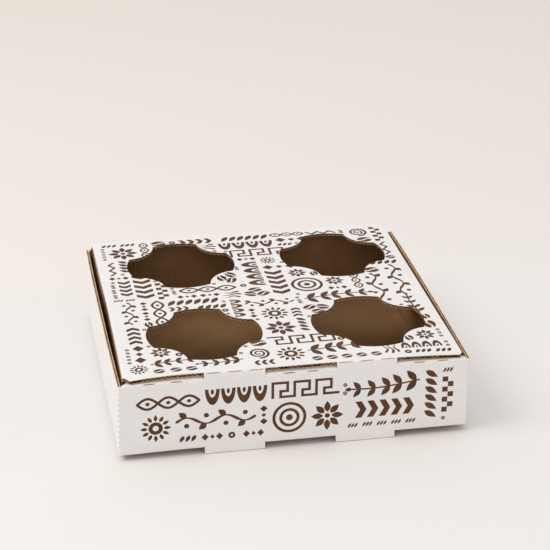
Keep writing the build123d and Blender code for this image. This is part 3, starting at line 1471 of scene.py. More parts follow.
@dataclass
class Blank:
    """The main length of the board: ledge, front, bottom and rear panels, and the lid with its flaps.

    It is cut flat and folded round the tray. Along t it starts at the ledge's end and ends at the
    lid's front edge, past which only the necks of the tabs go on.

    Fields:
        sizes: Sizes of the carrier.
        grid: Distance between the lines that let a flat take its slight waves.
        stiff: Distance from the middle within which the lid isn't pushed aside.
        dash_w: Width of a torn dash.
        dash_depth: Depth of a torn dash.
        dash_taper: How much narrower a dash is at its ends, as a share of its width.
        dash_wander: How far a dash strays from a straight line.
        neck_dash: Length of a dash across a neck.
        neck_dash_pitch: Distance from one of them to the next.
        ledge_dash: Length of a dash along the ledge.
        neck_slit: Width of the slit between a neck and the lid.
        set_back: How far the lid's raw edge lies behind the necks' folds.
        droop_left: How far the lid's left front corner hangs down.
        droop_right: How far its right front corner hangs down.
        reach_left: Distance from the left corner at which the lid is flat again.
        reach_right: Distance from the right corner at which it is.
        spring: How far the ledge's end springs up against the lid.
        swell: How much thicker the board has opened at the lid's raw edge.
        swell_reach: How far behind that edge the board has opened.
        flare_left: How far the left flap stands out at its front end.
        flare_right: How far the right flap stands out there.
        mitre_right: Width of the mitre at the ledge's right end.
        cut_right: Size of the lid's right front corner cut, as a share of the left one.
        slit_end: Distance from the ledge's fold at which its slits close.
        slit_taper: Length over which they narrow before that.
        rub_and_shade: Distance below the fold at which the painted brown shade on a flap starts.
        unshaded_end: Width of the band at the flap's lower end that has no painted shade.
        unshaded_side: Width of the bands at the flap's front and rear that have no painted shade.
        pressed: Width of board that cutting presses shut along a neck's sides.
        worn: How far back the fluted paper is torn, at most, behind the lid's raw edge.
        worn_left: How far the wear reaches from the front panel's lower left corner.
        worn_right: How far it reaches from the lower right corner.
        worn_high: Height of that wear.
        hair: Room left between a mark and the cut edge beside it.
        underside: Distance from the folds at which the underside's kraft colour starts, a dark sheet that
            deepens the shade beneath the tray.
        taper: Height over which the rear panel's upper corners are cut back to the lid's width.
        taper_room: How much wider than the lid's flat the panel still is at its upper fold.
        inset_right: How far the lid's right edge lies in from its true place.
    """

    sizes: Carrier
    grid: float = 9.0
    stiff: float = 60.0
    dash_w: float = 0.75
    dash_depth: float = 0.4
    dash_taper: float = 0.35
    dash_wander: float = 0.12
    neck_dash: float = 10.0
    neck_dash_pitch: float = 15.0
    ledge_dash: float = 8.0
    neck_slit: float = 0.25
    set_back: float = 1.4
    droop_left: float = 2.5
    droop_right: float = 2.6
    reach_left: float = 40.0
    reach_right: float = 75.0
    spring: float = 2.3
    swell: float = 0.6
    swell_reach: float = 8.0
    flare_left: float = 1.3
    flare_right: float = 1.6
    mitre_right: float = 1.2
    cut_right: float = 0.6
    slit_end: float = 1.6
    slit_taper: float = 0.5
    rub_and_shade: float = 1.5
    unshaded_end: float = 0.5
    unshaded_side: float = 3.0
    pressed: float = 0.5
    worn: float = 1.6
    worn_left: float = 7.0
    worn_right: float = 2.0
    worn_high: float = 0.45
    hair: float = 0.02
    underside: float = 0.3
    taper: float = 5.5
    taper_room: float = 0.4
    inset_right: float = 0.3

    def __post_init__(self) -> None:
        """Lays out the paths of the tray, the necks and the lid's sides."""
        z, r = self.sizes, self.sizes.board.fold_out
        flats = [z.lid_rise - r, z.rim_z - z.foot_h - 2 * r, z.depth - 2 * r, z.height - z.foot_h - 2 * r]
        start, ahead = (-z.half_d + z.lid_rise, z.rim_z), (-1.0, 0.0)
        neck = z.lid_rise + z.board.crush
        self.lid_path = FoldPath(start, ahead, [*flats, z.depth - r], r, 1)
        self.neck_path = FoldPath(start, ahead, [*flats, z.depth - 2 * r, neck], r, 1)
        self.side_path = FoldPath((0.0, z.height), (1.0, 0.0), [z.lid_flat_half, z.flap_d - r], r, -1)
        self.front_top, self.front_foot, self.bottom_front = self.lid_path.marks[2:5]
        self.bottom_rear, self.rear_foot, self.rear_top, self.lid_rear = self.lid_path.marks[5:9]
        self.lid_front = self.lid_path.length
        self.neck_fold = self.neck_path.marks[9]
        self.neck_end = self.neck_path.length

    def lid_to_flat(self, points: np.ndarray) -> np.ndarray:
        """Turns places on the lid, seen from above, into (s, t)."""
        r = self.sizes.board.fold_out
        return np.column_stack([points[:, 0], self.lid_rear + self.sizes.half_d - r - points[:, 1]])

    def front_to_flat(self, points: np.ndarray) -> np.ndarray:
        """Turns places on the front panel, seen from the front, into (s, t)."""
        top = self.sizes.rim_z - self.sizes.board.fold_out
        return np.column_stack([points[:, 0], self.front_top + top - points[:, 1]])

    def on_tabs(self, s: np.ndarray) -> np.ndarray:
        """Tells which places across the flutes lie in a tab."""
        edge = self.neck_slit / 2
        return np.any([(s > left - edge) & (s < right + edge) for left, right in self.sizes.tabs], axis=0)

    def place(self, s: np.ndarray, t: np.ndarray, depth: np.ndarray | float) -> np.ndarray:
        """Folds points of the flat board into their places.

        Args:
            s: Places across the flutes.
            t: Places along them.
            depth: Depth below the outer face.

        Returns:
            One row of three coordinates for each point.
        """
        z = self.sizes
        depth = np.zeros(len(s)) + depth
        yz = self.lid_path.at(t, depth)
        neck = self.on_tabs(s) & (t > self.neck_fold)
        yz[neck] = self.neck_path.at(t[neck], depth[neck])
        x, height = s.copy(), yz[:, 1]
        lid = t > self.lid_rear + 1e-6
        flap = lid & (np.abs(s) > z.lid_flat_half)
        side = self.side_path.at(np.abs(s[flap]), depth[flap])
        x[flap] = np.sign(s[flap]) * side[:, 0]
        height[flap] = side[:, 1]
        xyz = np.column_stack([x, yz[:, 0], height])
        lid &= ~neck
        back = np.clip(1 - (xyz[:, 1] + z.half_d) / self.reach_left, 0, 1)
        xyz[lid, 2] -= (self.droop(s) * back ** 2)[lid]
        opened = np.clip(1 - (self.lid_front - self.set_back - t) / self.swell_reach, 0, 1) ** 2
        xyz[lid, 2] -= (self.swell * depth / z.board.thickness * opened)[lid]
        front = np.clip(0.5 - xyz[:, 1] / z.depth, 0, 1)
        out = np.clip((np.abs(s) - self.stiff) / (z.lid_flat_half - self.stiff), 0, 1)
        left, right = self.flare_left * front ** 3, self.flare_right * front ** 10 - self.inset_right
        xyz[lid, 0] += (out * np.where(s < 0, -left, right))[lid]
        ledge = t < self.front_top
        xyz[ledge, 2] += ((self.spring - self.droop(s)) * (1 - t / self.front_top))[ledge]
        return STANCE.settle(xyz, z)

    def droop(self, s: np.ndarray) -> np.ndarray:
        """How far the lid's front edge hangs down.

        Args:
            s: Places across the flutes.

        Returns:
            One distance for each place.
        """
        from_fold = self.sizes.lid_flat_half - np.abs(s)
        left = self.droop_left * np.clip(1 - from_fold / self.reach_left, 0, 1) ** 2
        right = self.droop_right * np.clip(1 - from_fold / self.reach_right, 0, 1) ** 2
        return np.where(s < 0, left, right)

    def folded(self, s: np.ndarray, t: np.ndarray) -> np.ndarray:
        """How much of a fold is at each point of the flat board.

        Args:
            s: Places across the flutes.
            t: Places along them.

        Returns:
            One share for each point.
        """
        share = np.where(self.on_tabs(s), self.neck_path.folded(t), self.lid_path.folded(t))
        sides = self.side_path.folded(np.abs(s)) * (t > self.lid_rear)
        return np.maximum(share, sides)

    def opening(self, middle: Point) -> Loop:
        """Outline of a cup opening, seen from above: four lobes with four petals between them.

        Args:
            middle: The opening's middle.

        Returns:
            Its loop.
        """
        z = self.sizes
        off = z.lobe_w / 2 + z.petal_r
        reach = math.hypot(off, off)
        to_lobe, to_petal = z.opening_r - z.lobe_round, z.petal_r + z.lobe_round
        fine, coarse = 0.3, 1.2
        along = (to_lobe ** 2 - to_petal ** 2 + reach ** 2) / (2 * reach)
        swing = math.acos(along / to_lobe)
        dip = math.acos((reach - along) / to_petal)
        points: list[Point] = []
        for k in range(4):
            diagonal = math.pi / 4 + k * math.pi / 2
            before, after = diagonal - swing, diagonal + swing
            petal = (middle[0] + reach * math.cos(diagonal), middle[1] + reach * math.sin(diagonal))
            inner = diagonal + math.pi
            corner_a = (middle[0] + to_lobe * math.cos(before), middle[1] + to_lobe * math.sin(before))
            corner_b = (middle[0] + to_lobe * math.cos(after), middle[1] + to_lobe * math.sin(after))
            points += arc(middle, z.opening_r, diagonal - math.pi / 2 + swing, before)
            points += arc(corner_a, z.lobe_round, before, inner + dip - math.pi, fine)
            points += arc(petal, z.petal_r, inner + dip, inner - dip)
            points += arc(corner_b, z.lobe_round, inner - dip - math.pi, after, fine)
        return subdivide(points, coarse)

    def stretches(self) -> list[tuple[float, float]]:
        """Stretches of the front panel beside and between the tabs.

        Returns:
            Left and right end of each.
        """
        half = self.sizes.panel_half
        ends = [-half, *[x for tab in self.sizes.tabs for x in tab], half]
        return list(zip(ends[::2], ends[1::2]))

    def tray_outline(self) -> Loop:
        """Outline of the tray's part of the blank, from the ledge's end to the top of the rear.

        Returns:
            Its loop.
        """
        z = self.sizes
        half, ledge = z.panel_half, z.lid_rise - z.board.fold_out
        neck_foot = self.front_top + z.board.crush
        closed = self.front_top - self.slit_end
        narrow = closed - self.slit_taper
        points: list[Point] = [(-half + ledge, 0)]
        for left, right in z.tabs:
            points += [(left - z.slit, 0), (left - z.slit, narrow), (left, closed), (left, neck_foot)]
            points += [(right, neck_foot), (right, closed), (right + z.slit, narrow), (right + z.slit, 0)]
        tip, low = z.lid_flat_half + self.taper_room, self.rear_top - self.taper
        points += [(half - self.mitre_right, 0), (half, self.mitre_right), (half, low), (tip, self.rear_top)]
        points += [(-tip, self.rear_top), (-half, low), (-half, ledge)]
        return np.array(points)

    def foot_slots(self) -> list[Loop]:
        """Slots that the feet leave in the folds and the bottom, at the front and at the rear.

        Returns:
            One loop for each foot.
        """
        z = self.sizes
        reach, crush, open_at = z.foot_h - z.board.fold_out, z.board.crush, z.board.bend / 4
        spans = (
            (self.front_foot - crush, self.front_foot + open_at, self.bottom_front + reach),
            (self.rear_foot + crush, self.rear_foot - open_at, self.bottom_rear - reach),
        )
        slots = []
        for end, wide, far in spans:
            for left, right in z.tabs:
                slots.append(np.array([
                    (left, end), (right, end), (right, wide), (right + z.slit, wide),
                    (right + z.slit, far), (left - z.slit, far), (left - z.slit, wide), (left, wide),
                ]))
        return slots

    def lid_outline(self) -> Loop:
        """Outline of the lid's part of the blank, with the flaps and the necks.

        Returns:
            Its loop.
        """
        z = self.sizes
        flat, bend = z.lid_flat_half, z.board.bend
        reach = self.side_path.length
        back = self.lid_rear + z.board.crush + z.slit
        edge = self.lid_front - self.set_back
        front = edge - z.lid_rise - z.play
        corner = flat + z.board.fold_out - z.corner_cut
        cut_at = edge - (z.lid_rise + z.play) * (flat - corner) / z.corner_cut
        near = flat + z.board.fold_out - self.cut_right * z.corner_cut
        near_at = edge - (z.lid_rise + z.play) * (flat - near) / z.corner_cut
        points: list[Point] = [(flat, self.rear_top), (flat, back), (reach, back), (reach, front)]
        points += [(flat + bend, front), (flat + bend / 2, near_at - z.play), (flat, near_at), (near, edge)]
        for left, right in reversed(z.tabs):
            slit_l, slit_r = left - self.neck_slit, right + self.neck_slit
            points += [(slit_r, edge), (slit_r, self.neck_fold), (right, self.neck_fold)]
            points += [(right, self.neck_end), (left, self.neck_end)]
            points += [(left, self.neck_fold), (slit_l, self.neck_fold), (slit_l, edge)]
        points += [(-corner, edge), (-flat, cut_at), (-flat - bend, front)]
        points += [(-reach, front), (-reach, back), (-flat, back), (-flat, self.rear_top)]
        return np.array(points)

    def dash(self, s: float, t: float, length: float) -> Mark:
        """A cut dash across the flutes, torn open by the fold that it lies on.

        Args:
            s: Its middle across the flutes.
            t: Its middle along them.
            length: Its length.

        Returns:
            The dash as a mark with a groove.
        """
        u = np.linspace(-1, 1, 13)
        half = self.dash_w / 2 * (1 - self.dash_taper * u ** 4)
        wander = [self.dash_wander * noise.noise((s + x * length / 2, t, 5.0)) for x in u]
        upper = np.column_stack([s + u * length / 2, t + half + wander])
        lower = np.column_stack([s + u * length / 2, t - half + wander])
        line = [(s - length / 2, t), (s + length / 2, t)]
        return Mark([np.concatenate([upper, lower[::-1]])], [], Skin.TORN, line, self.dash_depth)

    def ledge_dashes(self) -> list[Mark]:
        """Dashes along the ledge's fold.

        Returns:
            Two dashes in each stretch between the tabs.
        """
        middle = self.lid_path.marks[1] + self.sizes.board.bend / 2
        spots = [a + (b - a) * k / 6 for a, b in self.stretches() for k in (2, 4)]
        return [self.dash(s, middle, self.ledge_dash) for s in spots]

    def neck_dashes(self) -> list[Mark]:
        """Dashes across the necks' folds.

        Returns:
            Three dashes for each neck.
        """
        middle = self.neck_fold + self.sizes.board.bend / 2
        spots = [(a + b) / 2 + k * self.neck_dash_pitch for a, b in self.sizes.tabs for k in (-1, 0, 1)]
        return [self.dash(s, middle, self.neck_dash) for s in spots]

    def front_print(self) -> list[Mark]:
        """Print of the front panel.

        Returns:
            One mark for each ornament.
        """
        z = self.sizes
        side, end = 6.0, 4.0
        low = (-z.panel_half + side, z.foot_h + end)
        high = (z.panel_half - side, z.rim_z - end)
        return PrintField(low, high, self.front_to_flat, [], seed=7, gap=3.2).stamps()

    def lid_print(self, openings: list[Loop]) -> list[Mark]:
        """Print of the lid, cut through where the openings are.

        Args:
            openings: The openings' loops, seen from above.

        Returns:
            One mark for each ornament.
        """
        z = self.sizes
        side, end = 3.0, 5.0
        low = (-z.lid_flat_half + side, -z.half_d + end)
        high = (z.lid_flat_half - side, z.half_d - end)
        return PrintField(low, high, self.lid_to_flat, openings, seed=11, gap=1.8).stamps()

    def worn_corners(self) -> list[Mark]:
        """The front panel's lower corners, where handling has rubbed off the white coat.

        Returns:
            One mark for each corner.
        """
        half, low = self.sizes.panel_half - self.hair, self.front_foot + self.sizes.board.bend / 3
        marks = []
        for side, reach in ((-1, self.worn_left), (1, self.worn_right)):
            tall = ((0, self.worn_high), (reach / 2, self.worn_high * 2 / 3), (reach, 0), (0, 0))
            loop = [(side * (half - inward), low - up) for inward, up in tall]
            marks.append(Mark([np.array(loop)], [], Skin.TORN))
        return marks

    def underside_shade(self) -> Mark:
        """The underside, coloured kraft brown as painted shade: a dark sheet under the tray that makes the
        shade beneath its front edge darker and browner.

        Returns:
            Its mark.
        """
        half = self.sizes.panel_half - self.underside
        near, far = self.bottom_front + self.underside, self.bottom_rear - self.underside
        return Mark([rectangle(-half, half, near, far)], [], Skin.KRAFT)

    def gap_shaded_flaps(self) -> list[Mark]:
        """Painted brown shade on the outer faces of the flaps, where they hang in the dark gap beside the
        side walls.

        Returns:
            One mark for each flap.
        """
        near = self.sizes.lid_flat_half + self.sizes.board.bend + self.rub_and_shade
        far = self.side_path.length - self.unshaded_end
        rear = self.lid_rear + self.unshaded_side
        front = self.lid_front - self.sizes.lid_rise - self.unshaded_side
        return [Mark([rectangle(side * near, side * far, rear, front)], [], Skin.GAP_SHADE) for side in (-1, 1)]

    def lines(self, low: float, high: float) -> list[float]:
        """Evenly set lines that let a flat take its slight waves."""
        return between(low, high, max(1, round((high - low) / self.grid)))

    def plates(self) -> list[Plate]:
        """All plates of the blank: the tray as one board, and the lid in its three papers.

        Returns:
            The plates, ready to build.
        """
        z = self.sizes
        board = z.board
        seen = [self.opening(middle) for middle in z.openings]
        clean = [self.lid_to_flat(loop) for loop in seen]
        cut, torn, frayed = (
            [ragged(loop, amount, scale) for loop in clean]
            for amount, scale in ((0.06, 0.9), (0.2, 1.1), (0.14, 1.3))
        )
        bends = self.lid_path.bends() + self.neck_path.bends()
        sides = [sign * s for s in self.side_path.bends() for sign in (-1, 1)]
        across = self.lines(-z.panel_half, z.panel_half)
        panels = (
            (self.front_top, self.front_foot), (self.bottom_front, self.bottom_rear),
            (self.rear_foot, self.rear_top),
        )
        tray = Plate(
            "tray", self.tray_outline(), self.foot_slots(), across,
            bends + [t for low, high in panels for t in self.lines(low, high)],
            0.0, board.thickness, self.place, self.folded, (Skin.WHITE, Skin.KRAFT, Skin.RAW),
            self.front_print() + self.ledge_dashes() + self.worn_corners() + [self.underside_shade()],
        )
        outline = self.lid_outline()
        lid_bends = [t for t in bends if t > self.rear_top - 1]
        along = lid_bends + self.lines(self.lid_rear, self.neck_fold)
        outer = Plate(
            "lid_outer_liner", outline, cut, across + sides, along, 0.0, board.liner,
            self.place, self.folded, (Skin.WHITE, Skin.FLUTE_SHADE, Skin.TORN),
            self.lid_print(seen) + self.neck_dashes() + self.gap_shaded_flaps(),
        )
        inner = Plate(
            "lid_inner_liner", outline, frayed, across + sides, along,
            board.thickness - board.liner, board.thickness,
            self.place, self.folded, (Skin.FLUTE_SHADE, Skin.KRAFT, Skin.TORN),
        )
        step = board.flute_step
        count = int(self.side_path.length / step)
        flutes = Plate(
            "lid_flutes", torn_back(outline, self.lid_front - self.set_back, self.worn, scale=6.5), torn,
            [i * step for i in range(-count, count + 1)], lid_bends,
            0.0, board.medium, self.place, self.folded, (Skin.FLUTE_SHADE, Skin.FLUTE_SHADE, Skin.TORN),
            relief=board.flute_depth,
        )
        return [tray, outer, inner, flutes, *self.neck_edges()]

    def neck_edges(self) -> list[Plate]:
        """The side edges of the necks, where cutting has pressed the flutes shut.

        Returns:
            Two strips for each neck, ready to build.
        """
        board = self.sizes.board
        bends = [t for t in self.neck_path.bends() if self.neck_fold < t < self.neck_end]
        plates = []
        for left, right in self.sizes.tabs:
            neck = f"{'left' if left < 0 else 'right'}_neck"
            for side, near in (("left", left), ("right", right - self.pressed)):
                loop = rectangle(near, near + self.pressed, self.neck_fold, self.neck_end)
                plates.append(Plate(
                    f"{neck}_{side}_edge", loop, [], [], bends, board.liner, board.thickness - board.liner,
                    self.place, self.folded, (Skin.RAW, Skin.RAW, Skin.RAW),
                ))
        return plates


@dataclass
class SideWall:
    """A side wall, folded round from the front panel to the rear panel, with a raw rim.

    Fields:
        sizes: Sizes of the carrier.
        side: Which side it stands on.
        bow: How far its rim bows out between the upright folds.
        bulge: How much more it bows towards the rear, as a share.
        rim_end: How far short of the rear fold the rim ends.
        drop: Height over which the wall is cut back below that end.
        dash: Length of a dash down an upright fold.
        dash_pitch: Distance from one dash to the next.
        dash_w: Width of a dash.
        dash_depth: Depth of a dash.
        dash_low: Height of the lowest dash above the wall's foot.
        dash_room: Height of an upright fold that has no dashes.
        worn: How far down the fluted paper is torn, at most, below the rim.
        scuff: Height of the wear at the foot of the front fold.
        scuff_end: Its height at its far end.
        hair: Room left between that wear and the cut edges.
        rows: Number of strips from foot to rim that let the wall take its slight waves.
        columns: Number of strips along it.
    """

    sizes: Carrier
    side: Side
    bow: float
    bulge: float = 0.0
    rim_end: float = 0.0
    drop: float = 6.0
    dash: float = 1.2
    dash_pitch: float = 4.0
    dash_w: float = 0.5
    dash_depth: float = 0.3
    dash_low: float = 3.0
    dash_room: float = 4.0
    worn: float = 0.6
    scuff: float = 0.5
    scuff_end: float = 0.3
    hair: float = 0.02
    rows: int = 6
    columns: int = 27

    def __post_init__(self) -> None:
        """Lays the wall's path out in plan, as the right-hand wall."""
        z, r = self.sizes, self.sizes.board.fold_out
        self.lead = z.half_w - r - z.panel_half
        flats = [self.lead, z.depth - 2 * r, self.lead]
        self.path = FoldPath((z.panel_half, -z.half_d), (1.0, 0.0), flats, r, 1)

    def place(self, s: np.ndarray, t: np.ndarray, depth: np.ndarray | float) -> np.ndarray:
        """Folds points of the wall into their places; t is the height.

        Args:
            s: Places along the wall.
            t: Heights.
            depth: Depth below the outer face.

        Returns:
            One row of three coordinates for each point.
        """
        z = self.sizes
        plan = self.path.at(s, np.zeros(len(s)) + depth)
        back, up = plan[:, 1] / z.half_d, np.clip(t / z.rim_z, 0, 1)
        swell = self.bow * (1 - back ** 2) * (1 + self.bulge * np.clip(back, 0, 1)) * up
        xyz = np.column_stack([self.side.value * (plan[:, 0] + swell), plan[:, 1], t])
        return STANCE.settle(xyz, z)

    def outline(self) -> Loop:
        """The wall's flat outline.

        Returns:
            Its loop.
        """
        z, length = self.sizes, self.path.length
        end = length - self.lead - z.board.bend - self.rim_end
        low = z.rim_z - self.drop
        return np.array([(0, z.foot_h), (length, z.foot_h), (length, low), (end, z.rim_z), (0, z.rim_z)])

    def dashes(self) -> list[Mark]:
        """Short dashes down the two upright folds.

        Returns:
            One mark for each dash.
        """
        z = self.sizes
        half, w = self.dash / 2, self.dash_w / 2
        pointed = np.array([(0, -1), (1, -0.6), (1, 0.6), (0, 1), (-1, 0.6), (-1, -0.6)]) * (w, half)
        front, rear = self.lead + z.board.bend / 2, self.path.length - self.lead - z.board.bend / 2
        count = int((z.rim_z - z.foot_h - self.dash_room) / self.dash_pitch)
        marks = []
        for s in (front, rear):
            for k in range(count):
                t = z.foot_h + self.dash_low + k * self.dash_pitch
                line = [(s, t - half), (s, t + half)]
                marks.append(Mark([pointed + (s, t)], [], Skin.TORN, line, self.dash_depth))
        return marks

    def worn_foot(self) -> Mark:
        """Wear at the foot of the front fold, where the white coat has rubbed off.

        Returns:
            Its mark.
        """
        foot, end = self.sizes.foot_h, self.lead + self.sizes.board.bend
        low = foot + self.hair
        corners = [(self.hair, low), (end, low), (end, foot + self.scuff_end), (self.hair, foot + self.scuff)]
        return Mark([np.array(corners)], [], Skin.TORN)

    def plates(self) -> list[Plate]:
        """The wall's two liners and the fluted paper between them.

        Returns:
            The plates, ready to build.
        """
        z = self.sizes
        board = z.board
        name = self.side.name.lower()
        outline = self.outline()
        grid = between(z.foot_h, z.rim_z, self.rows)
        across = self.path.bends() + between(0.0, self.path.length, self.columns)

        def folded(s: np.ndarray, t: np.ndarray) -> np.ndarray:
            """Share of a fold at each point of the wall."""
            return self.path.folded(s)

        outer = Plate(
            f"{name}_wall_outer_liner", outline, [], across, grid, 0.0, board.liner, self.place, folded,
            (Skin.WHITE, Skin.FLUTE_SHADE, Skin.RAW), [*self.dashes(), self.worn_foot()],
        )
        inner = Plate(
            f"{name}_wall_inner_liner", outline, [], across, grid,
            board.thickness - board.liner, board.thickness,
            self.place, folded, (Skin.FLUTE_SHADE, Skin.KRAFT, Skin.RAW),
        )
        step = board.flute_step
        flutes = Plate(
            f"{name}_wall_flutes", torn_back(outline, z.rim_z, self.worn, scale=5.0), [],
            [i * step for i in range(int(self.path.length / step) + 1)], grid,
            0.0, board.medium, self.place, folded, (Skin.FLUTE_SHADE, Skin.FLUTE_SHADE, Skin.RAW),
            relief=board.flute_depth,
        )
        return [outer, inner, flutes]


@dataclass
class Foot:
    """A foot of a tab, straight down from the front or the rear panel.

    Fields:
        sizes: Sizes of the carrier.
        left: Its left side.
        right: Its right side.
        front: Whether it is one of the front feet.
        fray: Height at which the white liner ends above the floor.
        columns: Number of strips that let it take the board's slight waves.
    """

    sizes: Carrier
    left: float
    right: float
    front: bool
    fray: float = 0.45
    columns: int = 5

    def place(self, s: np.ndarray, t: np.ndarray, depth: np.ndarray | float) -> np.ndarray:
        """Sets points of the foot in their places; t is the height.

        Args:
            s: Places across the carrier.
            t: Heights.
            depth: Depth below the outer face.

        Returns:
            One row of three coordinates for each point.
        """
        away = self.sizes.half_d - (np.zeros(len(s)) + depth)
        xyz = np.column_stack([s, -away if self.front else away, t])
        return STANCE.settle(xyz, self.sizes)

    def plates(self) -> list[Plate]:
        """The foot's white liner, and the rest of its board pressed solid.

        Returns:
            The plates, ready to build.
        """
        z = self.sizes
        board = z.board
        outline = rectangle(self.left, self.right, 0, z.foot_h + board.thickness)
        frayed = np.maximum(outline, (self.left, self.fray))
        end = "front" if self.front else "rear"
        name = f"{end}_{'left' if self.left < 0 else 'right'}_foot"

        def flat(s: np.ndarray, t: np.ndarray) -> np.ndarray:
            """A foot has no fold."""
            return np.zeros(len(s))

        spread = between(self.left, self.right, self.columns)
        return [
            Plate(
                f"{name}_outer_liner", frayed, [], spread, [], 0.0, board.liner, self.place, flat,
                (Skin.WHITE, Skin.TORN, Skin.TORN),
            ),
            Plate(
                f"{name}_core", outline, [], spread, [], board.liner, board.thickness, self.place, flat,
                (Skin.TORN, Skin.KRAFT, Skin.TORN),
            ),
        ]


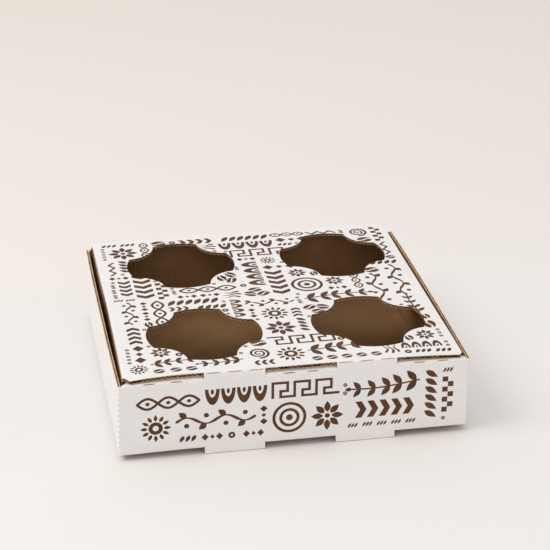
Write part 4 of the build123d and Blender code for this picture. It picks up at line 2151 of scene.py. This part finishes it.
@dataclass(frozen=True)
class Studio:
    """The floor, the light and the camera, in metres, degrees and watts.

    Fields:
        near: Colour of the floor in front of the carrier.
        far: Colour of the floor well behind it.
        depth: Places along y between which the floor turns from one colour to the other.
        roughness: Roughness of the floor.
        gloss: Strength of its reflections.
        bare: Brightness of the floor where nothing shades it.
        fill_left: Share of that brightness that fills the soft shade beside the left wall.
        fill_right: The same beside the right wall.
        wall: Distances from the middle between which the fill sets in, under the foot of a wall.
        left_start: Places along y between which the fill sets in beside the left wall.
        right_start: The same beside the right wall.
        fill_stop: Places along y between which both fills fade out.
        floor_half: Half of the floor's width.
        sky: Strength of the even light from all round.
        sky_colour: Its colour.
        key_power: Power of the lamp.
        key_size: Its width.
        key_colour: Its colour.
        key_from: Its place. It shines on the origin.
        camera_at: Place of the camera.
        pan: How far right of straight back it looks.
        tilt: How far down it looks.
        roll: How far it is turned about its view.
        lens: Focal length, in millimetres.
        sensor: Width of its film, in millimetres.
        clip: Nearest and farthest distance that it sees.
    """

    near: Colour = (0.865, 0.838, 0.822)
    far: Colour = (0.815, 0.742, 0.69)
    depth: Point = (-0.3, 1.2)
    roughness: float = 0.8
    gloss: float = 0.2
    bare: float = 1.03
    fill_left: float = 0.6
    fill_right: float = 0.5
    wall: Point = (0.119, 0.1215)
    left_start: Point = (-0.118, -0.106)
    right_start: Point = (-0.08, 0.1)
    fill_stop: Point = (0.11, 0.2)
    floor_half: float = 6.0
    sky: float = 0.81
    sky_colour: Colour = (1.0, 0.985, 0.97)
    key_power: float = 24.0
    key_size: float = 1.6
    key_colour: Colour = (1.0, 0.99, 0.975)
    key_from: tuple[float, float, float] = (-1.7, -0.25, 2.1)
    camera_at: tuple[float, float, float] = (-0.2267, -1.2026, 0.642)
    pan: float = 10.97
    tilt: float = 24.73
    roll: float = 0.45
    lens: float = 119.9
    sensor: float = 36.0
    clip: Point = (0.05, 30.0)

    def floor_material(self) -> bpy.types.Material:
        """Makes the floor's material, a pale sheet that darkens a little with distance.

        Returns:
            The new material.
        """
        material = bpy.data.materials.new("pale_sheet")
        material.use_nodes = True
        kit = NodeKit(material.node_tree)
        place = kit.add("ShaderNodeTexCoord").outputs["Object"]
        x, y, _ = kit.add("ShaderNodeSeparateXYZ", {0: place}).outputs
        colour = kit.mix(kit.span(y, *self.depth, 0.0, 1.0), (*self.near, 1), (*self.far, 1))
        shader = kit.add(
            "ShaderNodeBsdfPrincipled",
            {"Base Color": colour, "Roughness": self.roughness, "Specular IOR Level": self.gloss},
        ).outputs[0]
        plain = kit.add("ShaderNodeEmission", {"Color": colour, "Strength": self.bare}).outputs[0]
        share = self.filled(kit, x, y)
        surface = kit.add("ShaderNodeMixShader", {0: share, 1: shader, 2: plain}).outputs[0]
        kit.add("ShaderNodeOutputMaterial", {"Surface": surface})
        return material

    def filled(self, kit: NodeKit, x: bpy.types.NodeSocket, y: bpy.types.NodeSocket) -> bpy.types.NodeSocket:
        """How much the soft shade on the floor is filled beside the walls.

        Only the view and reflections see the fill, and it throws no light.

        Args:
            kit: Kit of the floor's material.
            x: Place on the floor from left to right.
            y: Place from front to rear.

        Returns:
            The share of the floor that is shown bare of shade.
        """
        path = kit.add("ShaderNodeLightPath").outputs
        mirrored = kit.maths("ADD", path["Is Glossy Ray"], path["Is Transmission Ray"])
        seen = kit.maths("ADD", path["Is Camera Ray"], mirrored)
        under, clear = self.wall
        left = kit.maths(
            "MULTIPLY",
            kit.span(x, -clear, -under, self.fill_left, 0.0), kit.span(y, *self.left_start, 0.0, 1.0),
        )
        right = kit.maths(
            "MULTIPLY",
            kit.span(x, under, clear, 0.0, self.fill_right), kit.span(y, *self.right_start, 0.0, 1.0),
        )
        beside = kit.maths("MULTIPLY", kit.maths("ADD", left, right), kit.span(y, *self.fill_stop, 1.0, 0.0))
        return kit.maths("MULTIPLY", beside, seen)

    def floor(self) -> None:
        """Makes the floor."""
        half = self.floor_half
        corners = [(x, y, 0.0) for x, y in rectangle(-half, half, -half, half)]
        mesh = bpy.data.meshes.new("floor")
        mesh.from_pydata(corners, [], [(0, 1, 2, 3)])
        mesh.materials.append(self.floor_material())
        floor = bpy.data.objects.new("floor", mesh)
        bpy.context.scene.collection.objects.link(floor)

    def light(self) -> None:
        """Sets an even sky and one large soft lamp to the left."""
        world = bpy.data.worlds.new("studio")
        world.use_nodes = True
        bpy.context.scene.world = world
        kit = NodeKit(world.node_tree)
        sky = kit.add("ShaderNodeBackground", {"Color": (*self.sky_colour, 1), "Strength": self.sky})
        kit.add("ShaderNodeOutputWorld", {"Surface": sky.outputs[0]})
        lamp = bpy.data.lights.new("key", "AREA")
        lamp.shape = "DISK"
        lamp.size = self.key_size
        lamp.energy = self.key_power
        lamp.color = self.key_colour
        key = bpy.data.objects.new("key", lamp)
        bpy.context.scene.collection.objects.link(key)
        key.location = self.key_from
        key.rotation_euler = (-Vector(self.key_from)).to_track_quat("-Z", "Y").to_euler()

    def camera(self) -> None:
        """Sets the camera at the photograph's place and angle."""
        lens = bpy.data.cameras.new("camera")
        lens.lens, lens.sensor_width = self.lens, self.sensor
        lens.clip_start, lens.clip_end = self.clip
        camera = bpy.data.objects.new("camera", lens)
        bpy.context.scene.collection.objects.link(camera)
        aim = Matrix.Rotation(math.radians(-self.pan), 4, "Z")
        aim = aim @ Matrix.Rotation(math.radians(90 - self.tilt), 4, "X")
        aim = aim @ Matrix.Rotation(math.radians(self.roll), 4, "Z")
        camera.matrix_world = Matrix.Translation(self.camera_at) @ aim
        bpy.context.scene.camera = camera

    def build(self) -> None:
        """Builds the whole studio."""
        self.camera()
        self.floor()
        self.light()
        bpy.context.scene.view_settings.view_transform = "Standard"


def main() -> None:
    """Builds the studio and every piece of the carrier."""
    logging.basicConfig(level=logging.INFO, format="%(message)s")
    Studio().build()
    sizes = Carrier()
    groups = PaperGroups()
    materials = [FINISHES[skin].material(groups, sizes.board) for skin in Skin]
    plates = Blank(sizes).plates()
    plates += SideWall(sizes, Side.LEFT, bow=0.85).plates()
    plates += SideWall(sizes, Side.RIGHT, bow=0.9, bulge=1.2, rim_end=6.0).plates()
    for left, right in sizes.tabs:
        for front in (True, False):
            plates += Foot(sizes, left, right, front).plates()
    for plate in plates:
        piece = plate.mesh(materials)
        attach(piece, BODY)
        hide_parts(NODE)


if __name__ == "__main__":
    main()
